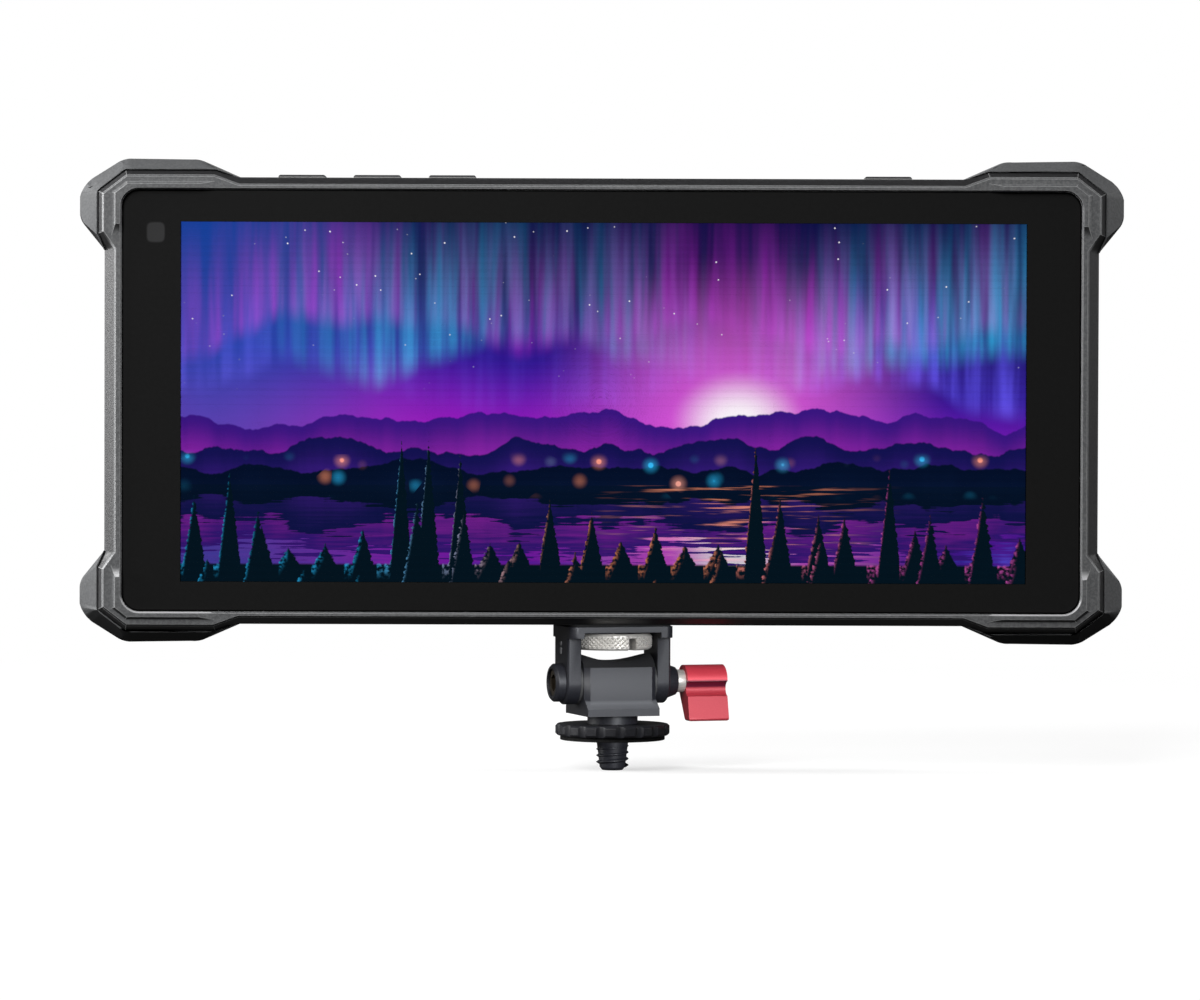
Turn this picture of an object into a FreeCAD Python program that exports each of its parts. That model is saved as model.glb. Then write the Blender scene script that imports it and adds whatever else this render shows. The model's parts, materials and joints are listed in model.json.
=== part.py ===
import FreeCAD, Part
import os
from types import SimpleNamespace

import Sketcher
from FreeCAD import Placement, Rotation, Vector

# A camera field monitor on its tilting mount, drawn as one parametric document.
#
# The driving sizes are in a sheet, in millimetres and degrees. Every piece is an object bound to that sheet.
# Two local frames are used. The monitor's pieces are drawn about the middle of the front frame's face, with y
# running back into the case. The mount's pieces are drawn about the camera stud, with x along the hinge.
# Each piece's placement then carries it into the shared frame: its origin is on the stud's axis where the
# ring's pad meets the camera, z is up, and the screen faces -y.

# Driving sizes
SIZES = {
    # How the monitor stands over its mount
    "mount_offset": 2.4,
    "mount_depth": 13.0,
    "mount_turn": 18.0,
    # One length by which every cutting tool runs past what it cuts
    "overrun": 1.0,
    # Rear shell
    "shell_width": 193.2,
    "shell_tall": 86.8,
    "shell_corner": 4.0,
    "shell_back": 24.0,
    "shell_wall": 1.8,
    "shell_floor": 2.0,
    "shell_front_bevel": 0.7,
    "shell_back_bevel": 2.4,
    "vent_width": 2.2,
    "vent_tall": 26.0,
    "vent_pitch": 4.6,
    "vent_start": 34.0,
    # Front frame
    "lip_inset_side": 2.15,
    "lip_inset_top": 1.4,
    "lip_depth": 2.6,
    "lip_bevel": 0.35,
    "lip_flank": 1.0,
    "lip_flank_more_side": 0.85,
    "lip_flank_more_top": 0.1,
    "lip_bump_side": 2.35,
    "lip_bump_top": 1.75,
    "lip_cut_across": 4.7,
    "lip_cut_up": 3.6,
    "lip_flat_across": 17.0,
    "lip_flat_up": 7.5,
    "lip_slope_across": 4.8,
    "lip_slope_up": 3.3,
    "lip_cut_across_share": 0.66,
    "lip_cut_up_share": 0.51,
    "lip_flat_across_share": 0.51,
    "lip_flat_up_share": 0.755,
    "ridge_rise": 0.8,
    "ridge_in_side": 0.3,
    "ridge_in_top": 0.05,
    "ridge_slope_side": 0.85,
    "ridge_slope_top": 0.55,
    "ridge_cut_across": 2.35,
    "ridge_cut_up": 1.84,
    "ridge_foot_cut_share": 1.18,
    "ridge_reach_across": 19.55,
    "ridge_reach_up": 10.1,
    "ridge_ramp_across": 2.9,
    "ridge_ramp_up": 2.3,
    "skirt_gap": 0.15,
    "skirt_thick": 1.4,
    "skirt_back": 7.0,
    "window_gap": 0.15,
    "window_bevel": 0.3,
    "ledge_side": 8.0,
    "ledge_top": 3.15,
    # Corner guards
    "guard_gap": 0.04,
    "guard_front": 2.2,
    "guard_slope_depth": 3.0,
    "guard_bump_side": 4.95,
    "guard_bump_top": 3.6,
    "guard_cut_across": 8.55,
    "guard_cut_up": 5.45,
    "guard_turn_across": 2.35,
    "guard_turn_up": 1.55,
    "guard_turn_down": 2.0,
    "guard_flat_across": 14.6,
    "guard_flat_up": 6.4,
    "guard_slope_across": 8.2,
    "guard_slope_up": 6.1,
    "guard_rim_side": 1.45,
    "guard_rim_top": 1.6,
    "guard_rim_cut_across": 5.6,
    "guard_rim_cut_up": 4.3,
    "guard_rim_turn_across": 0.8,
    "guard_rim_turn_up": 0.6,
    "guard_rim_turn_down": 0.7,
    "guard_rim_flat_across": 17.5,
    "guard_rim_flat_up": 8.5,
    "guard_rim_slope_across": 4.0,
    "guard_rim_slope_up": 3.0,
    "guard_inside_cut": 2.3,
    "guard_seam": 0.12,
    "guard_seat_gap": 0.15,
    # Glass and what lies behind it
    "rim_side": 1.65,
    "rim_top": 1.25,
    "glass_corner": 3.3,
    "glass_recess": 0.4,
    "glass_thick": 1.1,
    "glass_bevel": 0.2,
    "gasket_thick": 0.3,
    "gasket_inset": 0.2,
    "panel_gap": 0.3,
    "panel_thick": 1.4,
    "backlight_out_side": 0.5,
    "backlight_out_top": 0.4,
    "backlight_thick": 2.9,
    "tray_gap": 0.1,
    "tray_sheet": 0.7,
    "sensor_inset_side": 6.4,
    "sensor_inset_top": 8.15,
    "sensor_radius": 1.5,
    "sensor_hole_gap": 0.2,
    "sensor_foot_gap": 0.15,
    "sensor_foot_wide": 3.0,
    "sensor_foot_tall": 4.0,
    "sensor_foot_thick": 1.0,
    # Main board and what it carries
    "board_gap_side": 1.45,
    "board_gap_top": 12.6,
    "board_room": 10.0,
    "board_thick": 1.6,
    "post_inset_across": 15.0,
    "post_inset_up": 5.0,
    "post_radius": 2.4,
    "board_screw_radius": 1.2,
    "board_screw_hole": 1.3,
    "board_screw_head": 2.2,
    "board_screw_head_thick": 1.3,
    "board_screw_bite_share": 0.72,
    "chip_wide": 24.0,
    "chip_tall": 24.0,
    "chip_thick": 1.8,
    "memory_wide": 12.0,
    "memory_tall": 9.0,
    "memory_thick": 1.1,
    "memory_across": 32.0,
    "memory_rise": 8.0,
    "coil_wide": 9.0,
    "coil_thick": 3.4,
    "coil_across": 58.0,
    "coil_rise": 10.0,
    "pad_thick": 0.6,
    "pad_inset": 1.0,
    "sink_wide": 50.0,
    "sink_tall": 34.0,
    "sink_clear": 1.7,
    "sink_base": 1.4,
    "sink_back_gap": 0.8,
    "fin_thick": 1.2,
    "fin_inset": 1.4,
    "sink_leg_radius": 1.8,
    "sink_leg_inset": 3.2,
    "ribbon_left": 50.0,
    "ribbon_wide": 22.0,
    "ribbon_thick": 0.3,
    "ribbon_inset": 6.7,
    "ribbon_board_inset": 4.0,
    "ribbon_land": 4.0,
    "ribbon_window_gap": 0.8,
    "ribbon_window_tall": 6.4,
    # Top buttons and their board
    "button_wide": 9.25,
    "button_deep": 4.6,
    "button_rise": 0.8,
    "button_bevel": 0.3,
    "button_gap": 0.15,
    "button_start": 37.95,
    "button_pitch": 14.7,
    "power_inset": 40.65,
    "button_middle": 11.4,
    "button_skirt": 3.5,
    "button_flange": 0.7,
    "button_flange_gap": 0.2,
    "button_flange_thick": 0.8,
    "button_tip_radius": 1.0,
    "button_tip_long": 1.7,
    "switch_wide": 6.0,
    "switch_deep": 3.6,
    "switch_tall": 2.4,
    "switch_hole_gap": 0.15,
    "switch_hole_depth": 1.7,
    "switch_gap": 0.9,
    "button_board_thick": 1.2,
    "button_board_deep": 6.4,
    "button_board_margin": 7.0,
    "hanger_deep": 4.0,
    "hanger_wide": 2.4,
    # Sockets in the sides
    "socket_nose": 0.6,
    "socket_gap": 0.25,
    "video_wide": 15.0,
    "video_thick": 5.8,
    "video_long": 11.6,
    "video_sheet": 0.5,
    "video_cavity": 9.4,
    "video_tongue_wide": 11.2,
    "video_tongue_thick": 1.0,
    "video_tongue_long": 8.0,
    "data_wide": 9.4,
    "data_thick": 3.4,
    "data_long": 8.0,
    "data_sheet": 0.4,
    "data_cavity": 6.6,
    "data_tongue_wide": 6.6,
    "data_tongue_thick": 0.7,
    "data_tongue_long": 5.4,
    "power_jack_wide": 9.0,
    "power_jack_thick": 7.6,
    "power_jack_long": 12.0,
    "power_jack_nose": 3.5,
    "power_jack_bore": 2.85,
    "power_jack_depth": 9.5,
    "power_jack_pin": 1.0,
    "power_jack_pin_long": 8.6,
    "power_jack_up": 13.0,
    "phone_jack_wide": 6.6,
    "phone_jack_thick": 6.0,
    "phone_jack_long": 13.0,
    "phone_jack_nose": 2.6,
    "phone_jack_bore": 1.85,
    "phone_jack_depth": 11.5,
    "phone_jack_up": -9.0,
    # Battery plate on the back
    "plate_width": 42.0,
    "plate_tall": 68.0,
    "plate_corner": 3.0,
    "plate_thick": 5.0,
    "plate_bevel": 0.6,
    "rail_inset": 3.6,
    "rail_wide": 2.0,
    "rail_rise": 2.6,
    "rail_cap_wide": 3.4,
    "rail_cap_thick": 1.0,
    "rail_long": 13.0,
    "rail_up": 19.0,
    "latch_wide": 13.0,
    "latch_tall": 8.6,
    "latch_inset": 8.0,
    "latch_gap": 0.2,
    "latch_ear": 2.2,
    "latch_lip": 1.2,
    "latch_ear_thick": 1.6,
    "latch_rise": 1.4,
    "latch_bevel": 0.5,
    "leaf_thick": 0.25,
    "leaf_foot_out": 6.0,
    "leaf_foot_in": 4.6,
    "leaf_crown": 1.6,
    "leaf_wide": 5.0,
    "contact_across": 6.4,
    "contact_inset": 4.5,
    "contact_thick": 0.8,
    "contact_tall": 3.6,
    "contact_rise": 2.2,
    "contact_slot_gap": 0.3,
    "plate_screw_inset_side": 4.4,
    "plate_screw_inset_top": 3.4,
    "plate_screw_radius": 1.0,
    "plate_screw_head": 1.9,
    "plate_screw_head_thick": 1.2,
    "plate_screw_sink": 0.1,
    # Case screws
    "boss_inset_side": 6.05,
    "boss_inset_top": 5.8,
    "boss_radius": 3.2,
    "boss_joint": 8.0,
    "case_screw_radius": 1.2,
    "case_screw_pilot": 1.22,
    "case_screw_hole": 1.45,
    "case_screw_head": 2.3,
    "case_screw_head_thick": 1.4,
    "case_screw_sink": 2.2,
    "case_screw_well": 2.6,
    "case_screw_tip": 4.2,
    "drive_radius": 0.8,
    "drive_depth": 0.7,
    # Threaded insert under the case
    "insert_radius": 5.0,
    "insert_seat_gap": 0.02,
    "insert_tall": 9.0,
    "thumb_thread_gap": 0.1,
    "insert_wall_across": 2.5,
    "insert_wall_along": 0.8,
    # Bracket of the mount
    "bracket_deep": 13.0,
    "bracket_plate": 1.25,
    "bracket_shoulder": 2.3,
    "bracket_pad": 0.5,
    "bracket_pad_inset": 0.3,
    "clip_room": 0.5,
    "bracket_corner": 1.6,
    "ear_thick": 2.8,
    "ear_radius": 4.3,
    "ear_bevel": 0.35,
    # Thumb screw
    "thumb_side_gap": 0.3,
    "thumb_thick": 3.2,
    "thumb_gap": 0.2,
    "thumb_clear": 0.95,
    "thumb_bevel": 0.4,
    "thumb_neck": 2.5,
    "thumb_neck_gap": 0.1,
    "thumb_thread": 3.175,
    "thumb_bite": 7.0,
    "thumb_slot": 1.6,
    "thumb_slot_depth": 2.4,
    "thumb_spin": 13.0,
    "clip_radius": 3.9,
    "clip_seat_gap": 0.02,
    "clip_thick": 0.4,
    # Hinge block
    "block_width": 14.7,
    "block_rise": 6.4,
    "block_flange_tall": 1.5,
    "block_ledge_tall": 1.2,
    "block_flange_out": 1.7,
    "barrel_lift": 0.9,
    "block_shoulder": 3.1,
    "block_bevel": 1.0,
    "scoop_margin": 0.7,
    "scoop_depth": 1.35,
    # Hinge bolt and its stack
    "bolt_radius": 2.0,
    "bolt_gap": 0.05,
    "washer_thick": 0.48,
    "washer_play": 0.02,
    "cap_radius": 3.75,
    "cap_thick": 2.0,
    "cap_bevel": 0.5,
    "bolt_head": 2.7,
    "bolt_head_gap": 0.02,
    "bolt_head_thick": 1.3,
    "bolt_socket": 1.75,
    "bolt_socket_depth": 0.9,
    "thrust_radius": 3.5,
    "thrust_end_radius": 2.75,
    "thrust_long": 2.2,
    "collar_wall": 0.2,
    "collar_long": 1.7,
    # Tension lever
    "lever_wide": 8.3,
    "lever_hub": 3.15,
    "lever_drop": 7.8,
    "lever_front": 4.2,
    "lever_tip_back": 1.5,
    "lever_root_back": 2.95,
    "lever_root_drop": 1.0,
    "lever_shoulder": 3.1,
    "lever_shoulder_drop": 2.9,
    "lever_scoop": 1.5,
    "lever_web": 1.95,
    "lever_scoop_drop": 1.5,
    "lever_round": 0.45,
    "lever_bore_wall": 1.6,
    "lever_bolt_gap": 0.4,
    # Camera stud and its lock ring
    "stud_radius": 3.175,
    "stud_shank": 2.76,
    "stud_long": 6.0,
    "stud_bevel": 0.6,
    "neck_radius": 4.95,
    "neck_play": 0.05,
    "neck_tall": 1.75,
    "spigot_radius": 3.18,
    "spigot_gap": 0.02,
    "spigot_share": 0.78,
    "ring_radius": 11.25,
    "ring_foot": 0.9,
    "ring_top": 3.1,
    "ring_bevel": 0.4,
    "ring_bore_gap": 0.075,
    "ring_dent_radius": 1.1,
    "ring_dent_out": 0.6,
    "ring_pad_inset": 0.95,
    "ring_pad_hole": 3.6,
}
ROW_BUTTONS = 3
VENT_COUNT = 9
FIN_COUNT = 9
LOBE_COUNT = 18
HEX_SIDES = 6
SOCKET_GAPS = 4
FULL_TURN = 360
EASE_SHARE = 0.25

doc = FreeCAD.newDocument("field_monitor")
sheet = doc.addObject("Spreadsheet::Sheet", "Sizes")


class Size:
    """A size from the sheet, or one worked out from some: its number, and the formula that gives it."""

    def __init__(self, number, formula):
        self.number = number
        self.formula = formula

    def __add__(self, other):
        return worked_out(self, other, "+", lambda a, b: a + b)

    def __radd__(self, other):
        return worked_out(other, self, "+", lambda a, b: a + b)

    def __sub__(self, other):
        return worked_out(self, other, "-", lambda a, b: a - b)

    def __rsub__(self, other):
        return worked_out(other, self, "-", lambda a, b: a - b)

    def __mul__(self, other):
        return worked_out(self, other, "*", lambda a, b: a * b)

    def __rmul__(self, other):
        return worked_out(other, self, "*", lambda a, b: a * b)

    def __truediv__(self, other):
        return worked_out(self, other, "/", lambda a, b: a / b)

    def __neg__(self):
        return worked_out(0, self, "-", lambda a, b: a - b)


def as_size(value):
    return value if isinstance(value, Size) else Size(value, repr(value))


def worked_out(left, right, sign, result):
    left, right = as_size(left), as_size(right)
    return Size(result(left.number, right.number), f"({left.formula} {sign} {right.formula})")


for row, (name, number) in enumerate(SIZES.items(), 1):
    sheet.set(f"A{row}", name)
    sheet.set(f"B{row}", str(number))
    sheet.setAlias(f"B{row}", name)
doc.recompute()
S = SimpleNamespace(**{name: Size(number, f"Sizes.{name}") for name, number in SIZES.items()})
pieces = []


# Helpers that bind shapes to the sheet
def bind(thing, setting, value):
    thing.setExpression(setting, as_size(value).formula)


def finish(piece, label):
    piece.Label = label
    pieces.append(piece)
    return piece


def monitor_piece(piece, label):
    """Carry a piece drawn about the front frame's face into the shared frame."""
    bind(piece, "Placement.Base.x", -S.mount_offset)
    bind(piece, "Placement.Base.y", -S.mount_depth)
    bind(piece, "Placement.Base.z", shell_foot + S.shell_tall / 2)
    return finish(piece, label)


def mount_piece(piece, label, spin=0):
    """Turn a piece drawn along the hinge to the way the mount stands, and a piece that spins by some more."""
    turn = S.mount_turn + spin
    piece.Placement = Placement(Vector(0, 0, 0), Rotation(Vector(0, 0, 1), turn.number))
    bind(piece, "Placement.Rotation.Angle", turn)
    return finish(piece, label)


class Drawing:
    """A sketch on one of a body's planes. Pads and pockets made from it run back, up or right."""

    PLANES = {"front": ("XZ_Plane", -1), "top": ("XY_Plane", 1), "side": ("YZ_Plane", 1)}

    def __init__(self, body, facing, at):
        role, self.sign = self.PLANES[facing]
        self.body = body
        self.sketch = body.newObject("Sketcher::SketchObject", "drawing")
        plane = next(each for each in body.Origin.OriginFeatures if each.Role == role)
        self.sketch.AttachmentSupport = [(plane, "")]
        self.sketch.MapMode = "FlatFace"
        bind(self.sketch, "AttachmentOffset.Base.z", as_size(at) * self.sign)

    def hold(self, kind, *where, value):
        index = self.sketch.addConstraint(Sketcher.Constraint(kind, *where, as_size(value).number))
        bind(self.sketch, f"Constraints[{index}]", value)

    def hold_point(self, geometry, point, across, up):
        self.hold("DistanceX", -1, 1, geometry, point, value=across)
        self.hold("DistanceY", -1, 1, geometry, point, value=up)

    def polygon(self, points):
        first = self.sketch.GeometryCount
        spots = [Vector(as_size(a).number, as_size(b).number, 0) for a, b in points]
        for here, there in zip(spots, spots[1:] + spots[:1]):
            self.sketch.addGeometry(Part.LineSegment(here, there), False)
        for index, (across, up) in enumerate(points):
            following = first + (index + 1) % len(points)
            self.sketch.addConstraint(Sketcher.Constraint("Coincident", first + index, 2, following, 1))
            self.hold_point(first + index, 1, across, up)
        return self

    def rectangle(self, across, up, wide, tall):
        left, right = across - wide / 2, across + wide / 2
        low, high = up - tall / 2, up + tall / 2
        return self.polygon([(left, low), (right, low), (right, high), (left, high)])

    def circle(self, across, up, radius):
        centre = Vector(as_size(across).number, as_size(up).number, 0)
        round_line = Part.Circle(centre, Vector(0, 0, 1), as_size(radius).number)
        index = self.sketch.addGeometry(round_line, False)
        self.hold_point(index, 3, across, up)
        self.hold("Radius", index, value=radius)
        return self

    def pad(self, length):
        return self.feature("PartDesign::Pad", self.sign < 0, length)

    def pocket(self, length):
        return self.feature("PartDesign::Pocket", self.sign > 0, length)

    def feature(self, kind, backwards, length):
        made = self.body.newObject(kind, "feature")
        made.Profile = self.sketch
        made.Reversed = backwards
        bind(made, "Length", length)
        return made


def new_body():
    return doc.addObject("PartDesign::Body", "body")


def dress(body, kind, setting, value, wanted):
    """Round or bevel those edges of a body's latest shape that the test picks."""
    doc.recompute()
    base = body.Tip
    names = [f"Edge{index}" for index, edge in enumerate(base.Shape.Edges, 1) if wanted(edge)]
    made = body.newObject(kind, "dressing")
    made.Base = (base, names)
    bind(made, setting, value)
    doc.recompute()
    return made


def round_edges(body, radius, wanted):
    return dress(body, "PartDesign::Fillet", "Radius", radius, wanted)


def bevel_edges(body, size, wanted):
    return dress(body, "PartDesign::Chamfer", "Size", size, wanted)


NEARLY = 1e-4


def lies_at(axis, value):
    """Picks the edges that lie wholly in one plane square to an axis."""
    level = as_size(value).number

    def test(edge):
        box = edge.BoundBox
        low, high = getattr(box, axis + "Min"), getattr(box, axis + "Max")
        return abs(low - level) < NEARLY and abs(high - level) < NEARLY

    return test


def runs_along(axis):
    """Picks the straight edges that run along an axis."""

    def test(edge):
        box = edge.BoundBox
        lengths = {"X": box.XLength, "Y": box.YLength, "Z": box.ZLength}
        longest = lengths.pop(axis)
        return longest > NEARLY and max(lengths.values()) < NEARLY

    return test


def either(*tests):
    """Picks the edges that any of the tests picks."""
    return lambda edge: any(test(edge) for test in tests)


def block(left, front, foot, wide, deep, tall):
    made = doc.addObject("Part::Box", "block")
    for setting, value in zip(("Length", "Width", "Height"), (wide, deep, tall)):
        bind(made, setting, value)
    for axis, value in zip("xyz", (left, front, foot)):
        bind(made, f"Placement.Base.{axis}", value)
    return made


TURNS = {
    "x": Rotation(Vector(0, 1, 0), 90),
    "y": Rotation(Vector(1, 0, 0), -90),
    "z": Rotation(),
}


def placed_round(made, along, x, y, z):
    made.Placement = Placement(Vector(0, 0, 0), TURNS[along])
    for axis, value in zip("xyz", (x, y, z)):
        bind(made, f"Placement.Base.{axis}", value)
    return made


def rod(along, x, y, z, radius, length):
    made = doc.addObject("Part::Cylinder", "rod")
    bind(made, "Radius", radius)
    bind(made, "Height", length)
    return placed_round(made, along, x, y, z)


def cone(along, x, y, z, radius, end_radius, length):
    made = doc.addObject("Part::Cone", "cone")
    bind(made, "Radius1", radius)
    bind(made, "Radius2", end_radius)
    bind(made, "Height", length)
    return placed_round(made, along, x, y, z)


def hexagon_rod(along, x, y, z, radius, length):
    made = doc.addObject("Part::Prism", "hexagon")
    made.Polygon = HEX_SIDES
    bind(made, "Circumradius", radius)
    bind(made, "Height", length)
    return placed_round(made, along, x, y, z)


def fuse(*parts):
    made = doc.addObject("Part::MultiFuse", "joined")
    made.Shapes = list(parts)
    made.Refine = True
    return made


def cut(base, *tools):
    made = doc.addObject("Part::Cut", "cut")
    made.Base = base
    made.Tool = tools[0] if len(tools) == 1 else fuse(*tools)
    return made


def group(*parts):
    made = doc.addObject("Part::Compound", "group")
    made.Links = list(parts)
    return made


def frame_of(outer, inner):
    """A rectangular ring in the front plane; both blocks are (width, height, front, thickness)."""
    return cut(centred(*outer), centred(*inner))


def centred(wide, tall, front, deep):
    return block(-wide / 2, front, -tall / 2, wide, deep, tall)


# Outlines shared by several pieces
def bumped_corner(wide, tall, bump, cut_off, flat, slope):
    """The top right quarter of an outline whose corner swells out: from the top edge round to the side."""
    far, high = wide / 2 + bump[0], tall / 2 + bump[1]
    cut_across, cut_up = far - cut_off[0], high - cut_off[1]
    flat_across, flat_up = cut_across - flat[0], cut_up - flat[1]
    return [
        (flat_across - slope[0], tall / 2),
        (flat_across, high),
        (cut_across, high),
        (far, cut_up),
        (far, flat_up),
        (wide / 2, flat_up - slope[1]),
    ]


def all_round(corner):
    """A whole outline from its top right quarter, mirrored both ways."""
    right = corner + [(x, -z) for x, z in reversed(corner)]
    return right + [(-x, -z) for x, z in corner] + [(-x, z) for x, z in reversed(corner)]


def turned_corner(corner, across, up, down):
    """A bumped corner whose lower bend is eased by two more: on the slant, in the middle and on the side."""
    bend_across, bend_up = corner[3]
    eased = [
        (bend_across - across, bend_up + up),
        (bend_across - across * EASE_SHARE, bend_up + (up - down) * EASE_SHARE),
        (bend_across, bend_up - down),
    ]
    return corner[:3] + eased + corner[4:]


def lip_corner(margin, side_more=0, top_more=0):
    """The lip's quarter outline, moved out by a margin and its straight sides by some more.

    The shares keep its slants parallel.
    """
    cut_across = S.lip_cut_across + margin * S.lip_cut_across_share
    cut_up = S.lip_cut_up + margin * S.lip_cut_up_share
    flat_across = S.lip_flat_across + margin * S.lip_flat_across_share
    flat_up = S.lip_flat_up + margin * S.lip_flat_up_share
    return bumped_corner(
        lip_width + (margin + side_more) * 2,
        lip_tall + (margin + top_more) * 2,
        (S.lip_bump_side - side_more, S.lip_bump_top - top_more),
        (cut_across, cut_up),
        (flat_across, flat_up),
        (S.lip_slope_across, S.lip_slope_up),
    )


def lip_foot(margin):
    """The outline of the lip's slanting flank where it meets the case, moved out by a margin."""
    return lip_corner(S.lip_flank + margin, S.lip_flank_more_side, S.lip_flank_more_top)


def ridge_corner(across_out, up_out, cut_share):
    """The quarter outline of the raised corner ridges, moved out on both sides."""
    across, up = ridge_width / 2 + across_out, ridge_tall / 2 + up_out
    return [
        (across - S.ridge_cut_across * cut_share, up),
        (across, up - S.ridge_cut_up * cut_share),
    ]


def loft(body, sections):
    """One solid through several outlines, each at its own depth from the front."""
    drawn = [Drawing(body, "front", depth).polygon(outline).sketch for depth, outline in sections]
    made = body.newObject("PartDesign::AdditiveLoft", "loft")
    made.Profile = drawn[0]
    made.Sections = drawn[1:]
    made.Ruled = True
    return made


# Sizes worked out from the driving ones: the stack of the mount, from the camera up
neck_foot = S.ring_top + S.neck_play
block_foot = neck_foot + S.neck_tall
hinge_height = block_foot + S.block_rise
barrel_radius = S.block_rise - S.barrel_lift
thumb_foot = hinge_height + barrel_radius + S.thumb_clear
thumb_top = thumb_foot + S.thumb_thick
bracket_foot = thumb_top + S.thumb_gap
bracket_top = bracket_foot + S.bracket_plate
shell_foot = bracket_top + S.bracket_pad

# The case and what lies behind the glass, from the outside in
shell_inside_width = S.shell_width - S.shell_wall * 2
shell_inside_tall = S.shell_tall - S.shell_wall * 2
shell_inside_back = S.shell_back - S.shell_floor
guard_back = S.shell_back - S.shell_back_bevel
lip_width, lip_tall = S.shell_width - S.lip_inset_side * 2, S.shell_tall - S.lip_inset_top * 2
ridge_width, ridge_tall = lip_width - S.ridge_in_side * 2, lip_tall - S.ridge_in_top * 2
ridge_foot_width, ridge_foot_tall = ridge_width + S.ridge_slope_side * 2, ridge_tall + S.ridge_slope_top * 2
ridge_end_across, ridge_end_up = lip_width / 2 - S.ridge_reach_across, lip_tall / 2 - S.ridge_reach_up
glass_width, glass_tall = lip_width - S.rim_side * 2, lip_tall - S.rim_top * 2
opening_width, opening_tall = glass_width - S.ledge_side * 2, glass_tall - S.ledge_top * 2
panel_width, panel_tall = opening_width - S.panel_gap * 2, opening_tall - S.panel_gap * 2
backlight_width = panel_width + S.backlight_out_side * 2
backlight_tall = panel_tall + S.backlight_out_top * 2
tray_width = backlight_width + (S.tray_gap + S.tray_sheet) * 2
tray_tall = backlight_tall + (S.tray_gap + S.tray_sheet) * 2
glass_back = S.glass_recess + S.glass_thick
ledge_front = glass_back + S.gasket_thick
panel_back = glass_back + S.panel_thick
backlight_back = panel_back + S.backlight_thick
tray_back = backlight_back + S.tray_sheet
sensor_across, sensor_up = glass_width / 2 - S.sensor_inset_side, glass_tall / 2 - S.sensor_inset_top
boss_across, boss_up = S.shell_width / 2 - S.boss_inset_side, S.shell_tall / 2 - S.boss_inset_top

# The main board, hung from the case's back, and what it carries
board_front = shell_inside_back - S.board_room
board_back = board_front + S.board_thick
board_width = shell_inside_width - S.board_gap_side * 2
board_tall = shell_inside_tall - S.board_gap_top * 2
post_across, post_up = board_width / 2 - S.post_inset_across, board_tall / 2 - S.post_inset_up
board_screw_bite = (board_front - tray_back) * S.board_screw_bite_share
contact_up = board_tall / 2 - S.contact_inset
chip_up = contact_up - S.contact_tall / 2 - S.sink_clear - S.sink_tall / 2
memory_up, coil_up = chip_up + S.memory_rise, chip_up + S.coil_rise
pad_front = board_back + S.chip_thick
sink_front = pad_front + S.pad_thick
sink_back = shell_inside_back - S.sink_back_gap
ribbon_across = -S.ribbon_left
ribbon_low, ribbon_high = S.ribbon_inset - backlight_tall / 2, S.ribbon_board_inset - board_tall / 2
socket_space = (board_tall - S.video_wide * 2 - S.data_wide) / SOCKET_GAPS
video_input_up = board_tall / 2 - socket_space - S.video_wide / 2
video_output_up = video_input_up - S.video_wide - socket_space
data_up = video_output_up - S.video_wide / 2 - socket_space - S.data_wide / 2

# The top buttons and the switches under them, from the case's top down
button_foot = S.shell_tall / 2 - S.button_skirt
button_tip_foot = button_foot - S.button_tip_long
switch_top = button_foot - S.switch_gap
switch_hole_floor = switch_top - S.switch_hole_depth
button_board_top = switch_top - S.switch_tall
button_board_foot = button_board_top - S.button_board_thick
button_first, power_across = S.button_start - S.shell_width / 2, S.shell_width / 2 - S.power_inset
button_places = [button_first + S.button_pitch * step for step in range(ROW_BUTTONS)] + [power_across]

# The battery plate, and the threaded insert under the case
plate_back = S.shell_back + S.plate_thick
plate_screw_across = S.plate_width / 2 - S.plate_screw_inset_side
plate_screw_up = S.plate_tall / 2 - S.plate_screw_inset_top
rail_across = S.plate_width / 2 - S.rail_inset
latch_up = S.latch_inset - S.plate_tall / 2
latch_front = plate_back - S.latch_lip - S.latch_gap - S.latch_ear_thick
insert_bore = S.thumb_thread + S.thumb_thread_gap
insert_block_wide = (S.insert_radius + S.insert_wall_across) * 2
insert_block_deep = (S.insert_radius + S.insert_wall_along) * 2

# The mount's hinge, from its middle out
ear_inside = S.block_width / 2 + S.washer_thick + S.washer_play
ear_outside = (ear_inside + S.ear_thick) * 2
thumb_radius = ear_inside - S.thumb_side_gap
bolt_hole = S.bolt_radius + S.bolt_gap
collar_radius = bolt_hole + S.collar_wall
flange_top = block_foot + S.block_flange_tall
shoulder_top = hinge_height + S.block_shoulder
ledge_top = flange_top + S.block_ledge_tall
spigot_top = block_foot + (S.block_rise - bolt_hole) * S.spigot_share
cap_end = -ear_outside / 2 - S.cap_thick
thrust_start = ear_outside / 2
collar_start = thrust_start + S.thrust_long + S.washer_play
lever_start = collar_start + S.collar_long
lever_end = lever_start + S.lever_wide
bolt_end = lever_end - S.lever_bore_wall - S.lever_bolt_gap
FOUR_WAYS = [(across, up) for across in (-1, 1) for up in (-1, 1)]
CONTACT_STEPS = (-1, 0, 1)


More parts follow.
